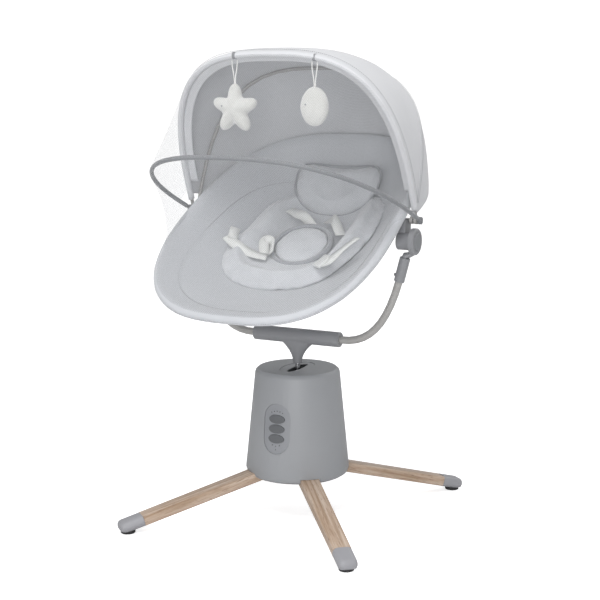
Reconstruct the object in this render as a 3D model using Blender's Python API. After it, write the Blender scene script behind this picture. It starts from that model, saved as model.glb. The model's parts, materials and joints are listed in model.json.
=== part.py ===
"""A baby swing: a motorised base on four wooden legs carries a fork, a reclining seat and a netted canopy.

Metres, +Z up. The base axis stands at X = Y = 0 of the frame, the child looks towards -Y, and +X is the
right-hand side seen from in front.
"""

import math

import bmesh
import bpy
from mathutils import Matrix, Vector

# ---------------------------------------------------------------- driving dimensions
GAP = 0.0004                 # air between pieces that touch
FRAME_Y = 0.0010             # moves the base axis so that the whole object is centred on the origin

# base
BASE_LIP_Z = 0.0800
BASE_WIDE_Z = 0.0925
BASE_WIDE_R = 0.1018
BASE_SHOULDER_Z = 0.2815
BASE_SHOULDER_R = 0.0833
BASE_TOP_Z = 0.2906
BASE_WALL = 0.0030
COVER_Z = 0.1035
COVER_THICK = 0.0030
BEZEL_HALF = (0.0280, 0.0520)
SLOT_HALF = (0.0100, 0.0410)

# control panel, on the -Y side of the cone
PANEL_Z = 0.1870
PANEL_HALF_WIDTH = 0.0275
PANEL_HALF_HEIGHT = 0.0485
BUTTON_HALF = (0.0165, 0.00825)
BUTTON_PITCH = 0.0189
BUTTON_PROUD = 0.0006
LIGHT_R = 0.0009

# legs
LEG_ANGLE = math.radians(40.5)      # each leg's angle from the Y axis, seen from above
LEG_SLOPE = math.radians(14.5)
LEG_INNER_R = 0.0550
LEG_OUTER_R = 0.3220
LEG_REF = (0.0850, 0.0840)          # a point (radius, height) on the leg's middle line
LEG_WIDTH = (0.0380, 0.0340)
LEG_THICK = 0.0200
FOOT_R = 0.3500
CAP_TIP_R = 0.3680
CAP_BOTTOM_Z = 0.0060
GLIDE_R = 0.0140

# swing pivot inside the base
PIVOT_Z = 0.1500
SHAFT_R = 0.0060
SHAFT_HALF = 0.0520
UPRIGHT_X = 0.0450
POST_R = 0.0050

# yoke and fork
YOKE_Z = 0.3530
YOKE_HALF = 0.0920
YOKE_R = 0.0147
YOKE_STEM_Z = 0.3000
YOKE_FLARE = 0.0460
FORK_R = 0.0074
FORK_ROOT_X = 0.0550
FORK_BEND = ((0.0950, 0.3530), (0.1500, 0.3510), (0.1870, 0.3870), (0.2120, 0.4750))
SLEEVE_TOP = (0.2240, 0.5210)
SLEEVE_R = 0.0100
SLEEVE_BORE = 0.0078

# hub, where the seat turns on the fork
HUB_Z = 0.5520
HUB_X = (0.2380, 0.2480)
HUB_R = 0.0250
HUB_BORE = 0.0172
HUB_BUTTON_X = (0.2425, 0.2495)
HUB_BUTTON_R = 0.0166

# seat rim, a tilted and slightly bent superellipse; U runs from the foot end to the head end
RIM_FOOT = (-0.2785, 0.4323)
RIM_LENGTH = 0.6500
RIM_TILT = math.radians(34.66)
RIM_BEND = 0.1857
RIM_HALF_WIDTH = 0.2280
RIM_TAPER = 0.0300
RIM_POWER = 2.83
RIM_TUBE_R = 0.0075

# seat sling, hung inside the rim
SLING_DEPTH = 0.1350
SLING_DEEPEST = 0.68
SLING_FOOT_POWER = 1.6
SLING_HEAD_POWER = 4.0
SLING_SIDE_POWER = 2.4
SLING_INSET = 0.0120
SLING_HALF_THICK = 0.0030
INSERT_THICK = 0.0160

# canopy and net hoops: (half width, radius, superellipse power, tilt back from upright in degrees)
CANOPY_PIVOT = (0.0150, 0.5900)
FRONT_HOOP = (0.2390, 0.3310, 3.00, -22.6)
MID_HOOP = (0.2305, 0.2970, 3.10, 21.3)
NET_BOW = (0.2470, 0.3344, 2.55, -67.3)
REAR_PANEL = (0.2250, 0.2895, 2.45, 76.0)
HOOP_TUBE_R = 0.0035
HOOP_POINTS = 27
EYE_R = 0.0070
EYE_THICK = 0.0060
PIN_R = 0.0030
PIN_END_X = 0.2515
FABRIC = 0.0020
NET_THICK = 0.0010
FABRIC_GAP = 0.0070
FABRIC_START = 0.0850               # the fabric stops this far from the hinge

# hanging toys, each on a ring that turns on the front hoop
TOY_X = {"star": -0.0739, "drop": 0.0889}
CORD_DROP = 0.0073           # from a ring's middle down to the top of its toy's cord
RING_R = 0.0068
RING_WIDTH = 0.0060
RING_WALL = 0.0018
TOY_THICK = 0.0250
STAR_CENTRE_Z = 0.7946
STAR_R = (0.0475, 0.0265)
DROP_CENTRE_Z = 0.8019
DROP_HALF = (0.0265, 0.0375)
TOY_CORD_R = 0.0013

SIDES = (("left", -1), ("right", 1))
PIVOTS = {}


# ---------------------------------------------------------------- helpers
def clear_scene():
    for item in list(bpy.data.objects):
        bpy.data.objects.remove(item)


def finish(name, colour, roughness, metallic=0.0):
    made = bpy.data.materials.new(name)
    made.use_nodes = True
    shader = made.node_tree.nodes["Principled BSDF"]
    shader.inputs["Base Color"].default_value = (*colour, 1.0)
    shader.inputs["Roughness"].default_value = roughness
    shader.inputs["Metallic"].default_value = metallic
    made.diffuse_color = (*colour, 1.0)
    return made


def pivot(name, at, parent=None):
    """An empty on a joint's axis; the pieces that turn or slide there are its children."""
    empty = bpy.data.objects.new(name, None)
    bpy.context.scene.collection.objects.link(empty)
    PIVOTS[name] = Vector(at)
    if parent:
        empty.parent = bpy.data.objects[parent]
        empty.location = PIVOTS[name] - PIVOTS[parent]
    else:
        empty.location = PIVOTS[name] + Vector((0, FRAME_Y, 0))


def piece(name, shape, material, owner, smooth=True):
    """Make the named object from a bmesh in frame coordinates and hang it on its pivot."""
    bmesh.ops.recalc_face_normals(shape, faces=shape.faces)
    bmesh.ops.translate(shape, verts=shape.verts, vec=-PIVOTS[owner])
    mesh = bpy.data.meshes.new(name)
    shape.to_mesh(mesh)
    shape.free()
    mesh.materials.append(material)
    if smooth:
        mesh.shade_smooth()
        mesh.set_sharp_from_angle(angle=math.radians(35))
    made = bpy.data.objects.new(name, mesh)
    bpy.context.scene.collection.objects.link(made)
    made.parent = bpy.data.objects[owner]
    return made


def solid(verts, faces):
    shape = bmesh.new()
    made = [shape.verts.new(v) for v in verts]
    for face in faces:
        shape.faces.new([made[i] for i in face])
    bmesh.ops.recalc_face_normals(shape, faces=shape.faces)
    return shape


def boolean(first, second, operation):
    """Join two closed shapes with Blender's exact Boolean and return the result."""
    made = []
    for shape in (first, second):
        bmesh.ops.recalc_face_normals(shape, faces=shape.faces)
        mesh = bpy.data.meshes.new("boolean_input")
        shape.to_mesh(mesh)
        shape.free()
        item = bpy.data.objects.new("boolean_input", mesh)
        bpy.context.scene.collection.objects.link(item)
        made.append(item)
    modifier = made[0].modifiers.new("boolean", "BOOLEAN")
    modifier.operation = operation
    modifier.solver = "EXACT"
    modifier.object = made[1]
    graph = bpy.context.evaluated_depsgraph_get()
    result = bpy.data.meshes.new_from_object(made[0].evaluated_get(graph))
    shape = bmesh.new()
    shape.from_mesh(result)
    for item in made:
        bpy.data.objects.remove(item)
    return shape


def cut(shape, *tools):
    for tool in tools:
        shape = boolean(shape, tool, "DIFFERENCE")
    return shape


def join(shape, *others):
    for other in others:
        shape = boolean(shape, other, "UNION")
    return shape


def common(shape, tool):
    return boolean(shape, tool, "INTERSECT")


def lathe(outline, segments=40, at=(0, 0, 0)):
    """Turn a closed outline of (radius, height) points about Z."""
    shape = bmesh.new()
    ring = [shape.verts.new((r, 0, z)) for r, z in outline]
    edges = [shape.edges.new((ring[i - 1], ring[i])) for i in range(len(ring))]
    bmesh.ops.spin(
        shape, geom=ring + edges, cent=(0, 0, 0), axis=(0, 0, 1), angle=2 * math.pi, steps=segments
    )
    bmesh.ops.remove_doubles(shape, verts=shape.verts, dist=1e-6)
    bmesh.ops.recalc_face_normals(shape, faces=shape.faces)
    bmesh.ops.translate(shape, verts=shape.verts, vec=at)
    return shape


def turned_to(shape, direction, at):
    """Turn a shape built along +Z so that it points along direction, and move it."""
    turn = Vector((0, 0, 1)).rotation_difference(Vector(direction)).to_matrix().to_4x4()
    bmesh.ops.transform(shape, matrix=Matrix.Translation(Vector(at)) @ turn, verts=shape.verts)
    return shape


def rod(start, end, radius, segments=16, end_radius=None):
    """A straight round bar between two points, tapered where end_radius is given."""
    start = Vector(start)
    end = Vector(end)
    length = (end - start).length
    shape = bmesh.new()
    bmesh.ops.create_cone(
        shape,
        cap_ends=True,
        segments=segments,
        radius1=radius,
        radius2=radius if end_radius is None else end_radius,
        depth=length,
    )
    return turned_to(shape, end - start, (start + end) / 2)


def block(low, high, bevel=0.0, segments=1):
    low = Vector(low)
    high = Vector(high)
    shape = bmesh.new()
    bmesh.ops.create_cube(shape, size=1.0)
    bmesh.ops.scale(shape, verts=shape.verts, vec=high - low)
    bmesh.ops.translate(shape, verts=shape.verts, vec=(low + high) / 2)
    if bevel:
        bmesh.ops.bevel(
            shape, geom=shape.edges[:], offset=bevel, segments=segments, affect="EDGES", profile=0.5
        )
    return shape


def prism(outline, low, high, axis="Z"):
    """Extrude a closed outline along an axis; the outline lies in the other two, in X, Y, Z order."""
    def point(a, b, c):
        return {"X": (c, a, b), "Y": (a, c, b), "Z": (a, b, c)}[axis]

    count = len(outline)
    verts = [point(a, b, low) for a, b in outline] + [point(a, b, high) for a, b in outline]
    faces = [tuple(range(count))[::-1], tuple(range(count, 2 * count))]
    faces += [(i, (i + 1) % count, count + (i + 1) % count, count + i) for i in range(count)]
    return solid(verts, faces)


def oval(half_a, half_b, centre=(0, 0), count=28, power=2.0):
    """Points of a superellipse outline; power 2 is an ellipse."""
    points = []
    for i in range(count):
        angle = 2 * math.pi * i / count
        a, b = superellipse(angle, power)
        points.append((centre[0] + half_a * a, centre[1] + half_b * b))
    return points


def superellipse(angle, power):
    c = math.cos(angle)
    s = math.sin(angle)
    return (
        math.copysign(abs(c) ** (2 / power), c),
        math.copysign(abs(s) ** (2 / power), s),
    )


def capsule(half_width, half_height, centre_z, count=8):
    """A stadium outline in X and Z, long in Z."""
    points = []
    for end in (1, -1):
        for i in range(count + 1):
            angle = math.pi * i / count
            x = end * half_width * math.cos(angle)
            z = end * (half_height - half_width + half_width * math.sin(angle))
            points.append((x, centre_z + z))
    return points


def even(points, count):
    """The same path with its points evenly spaced along its length."""
    points = [Vector(p) for p in points]
    run = [0.0]
    for a, b in zip(points, points[1:]):
        run.append(run[-1] + (b - a).length)
    made = []
    at = 0
    for i in range(count):
        want = run[-1] * i / (count - 1)
        while at < len(points) - 2 and run[at + 1] < want:
            at += 1
        span = run[at + 1] - run[at]
        made.append(points[at].lerp(points[at + 1], (want - run[at]) / span if span else 0))
    return made


def sweep(path, section, closed=False, up=(0, 0, 1), sizes=None):
    """Carry a flat section of (sideways, up) points along a path."""
    path = [Vector(p) for p in path]
    count = len(path)
    verts = []
    for i, at in enumerate(path):
        before = path[i - 1] if closed or i else path[0]
        after = path[(i + 1) % count] if closed or i < count - 1 else path[-1]
        along = (after - before).normalized()
        side = along.cross(Vector(up)).normalized()
        rise = side.cross(along)
        size = sizes[i] if sizes else 1.0
        verts += [at + side * a * size + rise * b * size for a, b in section]
    step = len(section)
    faces = []
    for i in range(count if closed else count - 1):
        here = i * step
        there = ((i + 1) % count) * step
        for k in range(step):
            nxt = (k + 1) % step
            faces.append((here + k, here + nxt, there + nxt, there + k))
    if not closed:
        faces.append(tuple(range(step)))
        faces.append(tuple(range((count - 1) * step, count * step)))
    return solid(verts, faces)


def circle(radius, sides=8):
    return [
        (radius * math.cos(2 * math.pi * i / sides), radius * math.sin(2 * math.pi * i / sides))
        for i in range(sides)
    ]


def sheet(rows, thickness):
    """A thin closed solid on a grid of points, thickness split either side."""
    count = len(rows[0])
    points = [[Vector(p) for p in row] for row in rows]
    normals = []
    for i, row in enumerate(points):
        for j in range(count):
            across = points[min(i + 1, len(points) - 1)][j] - points[max(i - 1, 0)][j]
            along = row[min(j + 1, count - 1)] - row[max(j - 1, 0)]
            normals.append(across.cross(along).normalized())
    flat = [p for row in points for p in row]
    verts = [p + n * thickness / 2 for p, n in zip(flat, normals)]
    verts += [p - n * thickness / 2 for p, n in zip(flat, normals)]
    under = len(flat)
    faces = []
    for i in range(len(points) - 1):
        for j in range(count - 1):
            a = i * count + j
            quad = (a, a + 1, a + count + 1, a + count)
            faces.append(quad)
            faces.append(tuple(under + k for k in reversed(quad)))
    rim = [j for j in range(count)]
    rim += [i * count + count - 1 for i in range(1, len(points))]
    rim += [(len(points) - 1) * count + j for j in range(count - 2, -1, -1)]
    rim += [i * count for i in range(len(points) - 2, 0, -1)]
    for k, a in enumerate(rim):
        b = rim[(k + 1) % len(rim)]
        faces.append((a, b, under + b, under + a))
    return solid(verts, faces)


# ---------------------------------------------------------------- seat surface
def rim_point(u):
    """The middle line of the rim in the plane X = 0, at distance u from the foot end."""
    return (
        RIM_FOOT[0] + u * math.cos(RIM_TILT),
        RIM_FOOT[1] + u * math.sin(RIM_TILT) - RIM_BEND * u * u,
    )


def rim_width(u):
    """The rim's full half width where the superellipse has not yet rounded it."""
    return RIM_HALF_WIDTH - RIM_TAPER * max(u / RIM_LENGTH, 0.0) ** 1.5


def rim_half(u):
    share = min(abs(1 - 2 * u / RIM_LENGTH), 1.0)
    return rim_width(u) * (1 - share**RIM_POWER) ** (1 / RIM_POWER)


def rim_place(angle, inset=0.0):
    """(x, u) on the rim, or inset from it; angle 0 is the +X side and -90 degrees the foot end."""
    a, b = superellipse(angle, RIM_POWER)
    u = RIM_LENGTH / 2 + (RIM_LENGTH / 2 - inset) * b
    return (rim_width(u) - inset) * a, u


def on_rim(angle, outward=0.0):
    x, u = rim_place(angle, -outward)
    y, z = rim_point(u)
    return Vector((x, y, z))


def sling_drop(x, u):
    """How far the sling hangs under the rim's plane."""
    t = min(max(u / RIM_LENGTH, 0.0), 1.0)
    if t < SLING_DEEPEST:
        down = 1 - (1 - t / SLING_DEEPEST) ** SLING_FOOT_POWER
    else:
        down = 1 - ((t - SLING_DEEPEST) / (1 - SLING_DEEPEST)) ** SLING_HEAD_POWER
    half = max(rim_half(u), 1e-6)
    across = 1 - min(abs(x) / half, 1.0) ** SLING_SIDE_POWER
    return SLING_DEPTH * down * across


def sling_point(x, u, lift=0.0):
    """A point on the sling's middle surface, lifted along the surface's normal into the seat."""
    def at(px, pu):
        y, z = rim_point(pu)
        return Vector((px, y, z - sling_drop(px, pu)))

    step = 0.002
    normal = (at(x + step, u) - at(x - step, u)).cross(at(x, u + step) - at(x, u - step)).normalized()
    return at(x, u) + normal * lift


def pad(place, low, high, rings, segments):
    """A closed pad on the sling: place(angle, share) gives (x, u), low and high lift its two faces."""
    verts = []
    faces = []
    for lift in (low, high):
        start = len(verts)
        verts.append(sling_point(*place(0.0, 0.0), lift(0.0)))
        for i in range(1, rings + 1):
            for j in range(segments):
                x, u = place(2 * math.pi * j / segments, i / rings)
                verts.append(sling_point(x, u, lift(i / rings)))
        for j in range(segments):
            faces.append((start, start + 1 + j, start + 1 + (j + 1) % segments))
        for i in range(rings - 1):
            for j in range(segments):
                a = start + 1 + i * segments + j
                b = start + 1 + i * segments + (j + 1) % segments
                faces.append((a, a + segments, b + segments, b))
    layer = 1 + rings * segments
    edge = 1 + (rings - 1) * segments
    for j in range(segments):
        a = edge + j
        b = edge + (j + 1) % segments
        faces.append((a, b, layer + b, layer + a))
    return solid(verts, faces)


def oval_place(centre_u, half_x, half_u, power):
    def place(angle, share):
        a, b = superellipse(angle, power)
        return share * half_x * a, centre_u + share * half_u * b

    return place


# ---------------------------------------------------------------- hoops
def hoop_point(hoop, turn, extra=0.0, tilt=None):
    """A point on a hoop; turn runs 0 to pi from the +X end over the top to the -X end."""
    half, radius, power, lean = hoop
    lean = math.radians(lean if tilt is None else tilt)
    a, b = superellipse(turn, power)
    reach = (radius + extra) * b
    return Vector((
        (half + extra) * a,
        CANOPY_PIVOT[0] + reach * math.sin(lean),
        CANOPY_PIVOT[1] + reach * math.cos(lean),
    ))


def hoop_path(hoop, count, extra=0.0):
    return even([hoop_point(hoop, math.pi * i / 400, extra) for i in range(401)], count)


def hoop_turns(hoop, count):
    """Turns that space points evenly from one FABRIC_START to the other."""
    power = hoop[2]
    first = math.asin((FABRIC_START / hoop[1]) ** (power / 2))
    fine = [first + (math.pi - 2 * first) * i / 400 for i in range(401)]
    run = [0.0]
    for a, b in zip(fine, fine[1:]):
        run.append(run[-1] + (hoop_point(hoop, b) - hoop_point(hoop, a)).length)
    turns = []
    at = 0
    for i in range(count):
        want = run[-1] * i / (count - 1)
        while at < 399 and run[at + 1] < want:
            at += 1
        turns.append(fine[at] + (fine[at + 1] - fine[at]) * (want - run[at]) / (run[at + 1] - run[at]))
    return turns


def hoop_shape(hoop):
    """The bent tube with a flattened eye at each end, bored for the hinge pin."""
    shape = sweep(hoop_path(hoop, HOOP_POINTS), circle(HOOP_TUBE_R), up=hoop_lean(hoop))
    y, z = CANOPY_PIVOT
    for side in (-1, 1):
        eye = rod(
            (side * (hoop[0] - EYE_THICK / 2), y, z), (side * (hoop[0] + EYE_THICK / 2), y, z), EYE_R, 12
        )
        shape = join(shape, eye)
    bore = rod((-0.3, y, z), (0.3, y, z), PIN_R + GAP, 10)
    return cut(shape, bore)


def hoop_lean(hoop):
    """The normal of a hoop's plane."""
    lean = math.radians(hoop[3])
    return Vector((0, math.cos(lean), -math.sin(lean)))


def leaned(hoop, turn, gap):
    """The hoop's tilt at this turn, moved by a distance gap along the fabric."""
    reach = hoop[1] * superellipse(turn, hoop[2])[1]
    return hoop[3] + math.degrees(gap / reach)


# ---------------------------------------------------------------- base
def base_radius(z):
    share = (z - BASE_WIDE_Z) / (BASE_SHOULDER_Z - BASE_WIDE_Z)
    return BASE_WIDE_R + share * (BASE_SHOULDER_R - BASE_WIDE_R)


def cone_shell(outer, inner, segments=48):
    """A ring of the base's cone between two offsets from its outer surface, as tall as the panel."""
    low = PANEL_Z - 0.06
    high = PANEL_Z + 0.06
    return lathe(
        [
            (base_radius(low) + outer, low),
            (base_radius(high) + outer, high),
            (base_radius(high) + inner, high),
            (base_radius(low) + inner, low),
        ],
        segments,
    )


def make_housing(plastic):
    wall = BASE_WALL
    outline = [
        (0.0925, BASE_LIP_Z),
        (0.0985, 0.0840),
        (BASE_WIDE_R, BASE_WIDE_Z),
        (BASE_SHOULDER_R, BASE_SHOULDER_Z),
        (0.0817, 0.2866),
        (0.0770, BASE_TOP_Z),
        (0.0, BASE_TOP_Z),
        (0.0, BASE_TOP_Z - wall),
        (0.0765, BASE_TOP_Z - wall),
        (BASE_SHOULDER_R - wall, 0.2800),
        (BASE_WIDE_R - wall, BASE_WIDE_Z),
        (0.0955, 0.0860),
        (0.0895, BASE_LIP_Z),
    ]
    shape = lathe(outline, 48)
    window = prism(
        capsule(PANEL_HALF_WIDTH + GAP, PANEL_HALF_HEIGHT + GAP, PANEL_Z), -0.13, -0.05, "Y"
    )
    opening = prism(oval(BEZEL_HALF[0] + GAP, BEZEL_HALF[1] + GAP), 0.27, 0.30)
    socket = rod((0, 0.07, 0.118), (0, 0.12, 0.118), 0.0058, 12)
    shape = cut(shape, window, opening, socket)
    for azimuth in leg_azimuths():
        shape = cut(shape, leg_bar(azimuth, LEG_INNER_R, 0.14, GAP))
    piece("base_housing", shape, plastic, "base")


def make_base_closures(plastic, dark):
    radius = base_radius(COVER_Z) - BASE_WALL - 0.0010
    high = COVER_Z + COVER_THICK
    cover = lathe([(0, COVER_Z), (radius, COVER_Z), (radius, high), (0, high)], 40)
    piece("base_cover", cover, plastic, "base")
    bezel = prism(oval(*BEZEL_HALF), BASE_TOP_Z - BASE_WALL, BASE_TOP_Z - 0.0012)
    bezel = cut(bezel, prism(oval(*SLOT_HALF), 0.27, 0.30))
    piece("slot_bezel", bezel, dark, "base")


def light_places():
    """(x, height) of the nine indicator lights: an arc of five, a row of three and one below."""
    places = [(0.0058 * k, PANEL_Z + 0.0345 - 0.0011 * abs(k) ** 1.5) for k in range(-2, 3)]
    places += [(0.0075 * k, PANEL_Z - 0.0315 - 0.0015 * (1 - abs(k))) for k in range(-1, 2)]
    places.append((0.0, PANEL_Z - 0.0400))
    return places


def make_controls(fascia_plastic, button_plastic, clear, owners):
    outline = capsule(PANEL_HALF_WIDTH, PANEL_HALF_HEIGHT, PANEL_Z)
    panel = common(cone_shell(-0.0008, -0.0030), prism(outline, -0.13, -0.05, "Y"))
    for k in (1, 0, -1):
        hole = oval(BUTTON_HALF[0] + GAP, BUTTON_HALF[1] + GAP, (0, PANEL_Z + k * BUTTON_PITCH), 24)
        panel = cut(panel, prism(hole, -0.13, -0.05, "Y"))
    for x, z in light_places():
        panel = cut(panel, rod((x, -0.12, z), (x, -0.06, z), LIGHT_R + 0.0003, 6))
    piece("control_panel", panel, fascia_plastic, "base")

    guide_outline = capsule(PANEL_HALF_WIDTH - 0.004, PANEL_HALF_HEIGHT - 0.003, PANEL_Z)
    guide = common(cone_shell(-0.0070, -0.0088), prism(guide_outline, -0.13, -0.05, "Y"))
    for x, z in light_places():
        face = -math.sqrt((base_radius(z) - 0.0012) ** 2 - x * x)
        guide = join(guide, rod((x, face, z), (x, face + 0.0072, z), LIGHT_R, 6))
    piece("light_guide", guide, clear, "base")

    for k, (name, owner) in zip((1, 0, -1), owners):
        outline = oval(*BUTTON_HALF, (0, PANEL_Z + k * BUTTON_PITCH), 24)
        key = common(cone_shell(BUTTON_PROUD, -0.0050), prism(outline, -0.13, -0.05, "Y"))
        piece(name, key, button_plastic, owner)


def make_drive(steel, dark, copper, plastic):
    y = 0.0150
    low = COVER_Z + COVER_THICK + GAP
    floor = low + 0.0030
    top = PIVOT_Z + 0.0160
    outline = [(-0.055, low), (0.055, low), (0.055, floor)]
    for side in (1, -1):
        near, far = (0.0430, 0.0470) if side < 0 else (0.0470, 0.0430)
        outline += [(side * near, floor), (side * near, top), (side * far, top), (side * far, floor)]
    outline.append((-0.055, floor))
    frame = prism(outline, -y, y, "Y")
    frame = cut(frame, rod((-0.06, 0, PIVOT_Z), (0.06, 0, PIVOT_Z), 0.0096, 20))
    piece("pivot_frame", frame, steel, "base")
    shaft = rod((-SHAFT_HALF, 0, PIVOT_Z), (SHAFT_HALF, 0, PIVOT_Z), SHAFT_R, 20)
    piece("pivot_shaft", shaft, steel, "base")
    for name, side in SIDES:
        ring = lathe([(0.0063, -0.0024), (0.0092, -0.0024), (0.0092, 0.0024), (0.0063, 0.0024)], 20)
        piece(f"bearing_{name}", turned_to(ring, (1, 0, 0), (side * UPRIGHT_X, 0, PIVOT_Z)), steel, "base")
    coil = lathe([(0.006, 0), (0.016, 0), (0.016, 0.0030), (0.006, 0.0030)], 24, (0, 0, floor + GAP))
    piece("drive_coil", coil, copper, "base")
    turns = 5
    per_turn = 10
    path = []
    for i in range(turns * per_turn + 1):
        angle = 2 * math.pi * i / per_turn
        x = 0.0250 + 0.0155 * i / (turns * per_turn)
        path.append((x, 0.0105 * math.cos(angle), PIVOT_Z + 0.0105 * math.sin(angle)))
    spring = sweep(path, circle(0.0012, 5), up=(1, 0, 0))
    piece("centring_spring", spring, steel, "base")
    jack = rod((0, 0.0880, 0.118), (0, 0.0985, 0.118), 0.0054, 12)
    jack = cut(jack, rod((0, 0.0920, 0.118), (0, 0.1000, 0.118), 0.0030, 12))
    piece("power_socket", jack, plastic, "base")


# ---------------------------------------------------------------- legs
def leg_azimuths():
    turn = math.pi / 2 - LEG_ANGLE
    return (-turn, turn, math.pi + turn, math.pi - turn)


def leg_names():
    return ("front_right", "back_right", "front_left", "back_left")


def leg_matrix(azimuth):
    """From the leg's own frame, X outwards along it, to the object's frame."""
    at = Matrix.Translation((LEG_REF[0], 0, LEG_REF[1]))
    return Matrix.Rotation(azimuth, 4, "Z") @ at @ Matrix.Rotation(LEG_SLOPE, 4, "Y")


def leg_bar(azimuth, inner, outer, grow=0.0, bevel=0.0, thick=LEG_THICK):
    """A tapered bar between two radii."""
    start = (inner - LEG_REF[0]) / math.cos(LEG_SLOPE)
    end = (outer - LEG_REF[0]) / math.cos(LEG_SLOPE)
    shape = block((start, -0.5, -thick / 2 - grow), (end, 0.5, thick / 2 + grow))
    full = (LEG_OUTER_R - LEG_INNER_R) / math.cos(LEG_SLOPE)
    first = (LEG_INNER_R - LEG_REF[0]) / math.cos(LEG_SLOPE)
    for vert in shape.verts:
        share = min((vert.co.x - first) / full, 1.0)
        width = LEG_WIDTH[0] + share * (LEG_WIDTH[1] - LEG_WIDTH[0])
        vert.co.y = math.copysign(width / 2 + grow, vert.co.y)
    if bevel:
        long_edges = [e for e in shape.edges if abs(e.verts[0].co.x - e.verts[1].co.x) > 0.01]
        bmesh.ops.bevel(shape, geom=long_edges, offset=bevel, segments=2, affect="EDGES", profile=0.5)
    bmesh.ops.transform(shape, matrix=leg_matrix(azimuth), verts=shape.verts)
    return shape


def make_legs(wood, plastic, rubber):
    for name, azimuth in zip(leg_names(), leg_azimuths()):
        piece(f"leg_{name}", leg_bar(azimuth, LEG_INNER_R, LEG_OUTER_R, bevel=0.0035), wood, "base")
        start = (LEG_OUTER_R - LEG_REF[0]) / math.cos(LEG_SLOPE) + GAP
        end = (CAP_TIP_R - LEG_REF[0]) / math.cos(LEG_SLOPE)
        half = LEG_WIDTH[1] / 2 + 0.0012
        thick = LEG_THICK / 2 + 0.0012
        cap = block((start, -half, -thick), (end, half, thick))
        tip = [e for e in cap.edges if max(v.co.x for v in e.verts) > end - 1e-6]
        bmesh.ops.bevel(cap, geom=tip, offset=0.0100, segments=3, affect="EDGES", profile=0.5)
        bmesh.ops.transform(cap, matrix=leg_matrix(azimuth), verts=cap.verts)
        cap = cut(cap, block((-0.5, -0.5, -0.1), (0.5, 0.5, CAP_BOTTOM_Z)))
        piece(f"foot_cap_{name}", cap, plastic, "base")
        at = (FOOT_R * math.cos(azimuth), FOOT_R * math.sin(azimuth), 0)
        top = CAP_BOTTOM_Z - GAP
        disc = lathe([(0, 0), (GLIDE_R - 0.001, 0), (GLIDE_R, 0.001), (GLIDE_R, top), (0, top)], 20, at)
        piece(f"glide_{name}", disc, rubber, "base")


# ---------------------------------------------------------------- swinging fork
def make_swing_arm(steel, dark):
    arm = rod((-0.022, 0, PIVOT_Z), (0.022, 0, PIVOT_Z), 0.0130, 20)
    arm = join(arm, rod((0, 0, PIVOT_Z + 0.004), (0, 0, PIVOT_Z + 0.030), 0.0095, 20))
    arm = join(arm, block((-0.006, -0.008, PIVOT_Z - 0.0262), (0.006, 0.008, PIVOT_Z - 0.004)))
    bore = rod((-0.03, 0, PIVOT_Z), (0.03, 0, PIVOT_Z), SHAFT_R + GAP, 20)
    pocket = rod((0, 0, PIVOT_Z + 0.0145), (0, 0, PIVOT_Z + 0.040), POST_R + GAP, 16)
    piece("swing_arm", cut(arm, bore, pocket), dark, "swing")
    magnet = block((-0.010, -0.012, PIVOT_Z - 0.0330), (0.010, 0.012, PIVOT_Z - 0.0262 - GAP))
    piece("drive_magnet", magnet, steel, "swing")
    post = rod((0, 0, PIVOT_Z + 0.0150), (0, 0, 0.3300), POST_R, 16)
    piece("neck_post", post, steel, "swing")


def make_yoke(plastic):
    barrel = lathe(
        [(0, -YOKE_HALF), (YOKE_R - 0.001, -YOKE_HALF), (YOKE_R, -YOKE_HALF + 0.001),
         (YOKE_R, YOKE_HALF - 0.001), (YOKE_R - 0.001, YOKE_HALF), (0, YOKE_HALF)],
        28,
    )
    turned_to(barrel, (1, 0, 0), (0, 0, YOKE_Z))
    rings = 7
    sides = 20
    top = YOKE_Z - 0.004
    verts = []
    for i in range(rings):
        share = i / (rings - 1)
        z = YOKE_STEM_Z + share * (top - YOKE_STEM_Z)
        wide = 0.0085 + (YOKE_FLARE - 0.0085) * share**2.0
        deep = 0.0085 + 0.0050 * share
        for a, b in oval(wide, deep, count=sides):
            verts.append((a, b, z))
    faces = [tuple(range(sides)), tuple(range((rings - 1) * sides, rings * sides))]
    for i in range(rings - 1):
        for j in range(sides):
            k = (j + 1) % sides
            faces.append((i * sides + j, i * sides + k, (i + 1) * sides + k, (i + 1) * sides + j))
    shape = join(barrel, solid(verts, faces))
    tools = [rod((0, 0, 0.28), (0, 0, 0.3310), POST_R + GAP, 16)]
    for side in (-1, 1):
        tools.append(rod((side * 0.0530, 0, YOKE_Z), (side * 0.12, 0, YOKE_Z), FORK_R + GAP, 16))
    piece("yoke", cut(shape, *tools), plastic, "swing")


def bezier(points, share):
    a, b, c, d = (Vector(p) for p in points)
    ab = a.lerp(b, share)
    bc = b.lerp(c, share)
    cd = c.lerp(d, share)
    return ab.lerp(bc, share).lerp(bc.lerp(cd, share), share)


def sleeve_axis(side):
    foot = Vector((side * FORK_BEND[3][0], 0, FORK_BEND[3][1]))
    top = Vector((side * SLEEVE_TOP[0], 0, SLEEVE_TOP[1]))
    return foot, top, (top - foot).normalized()


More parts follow.
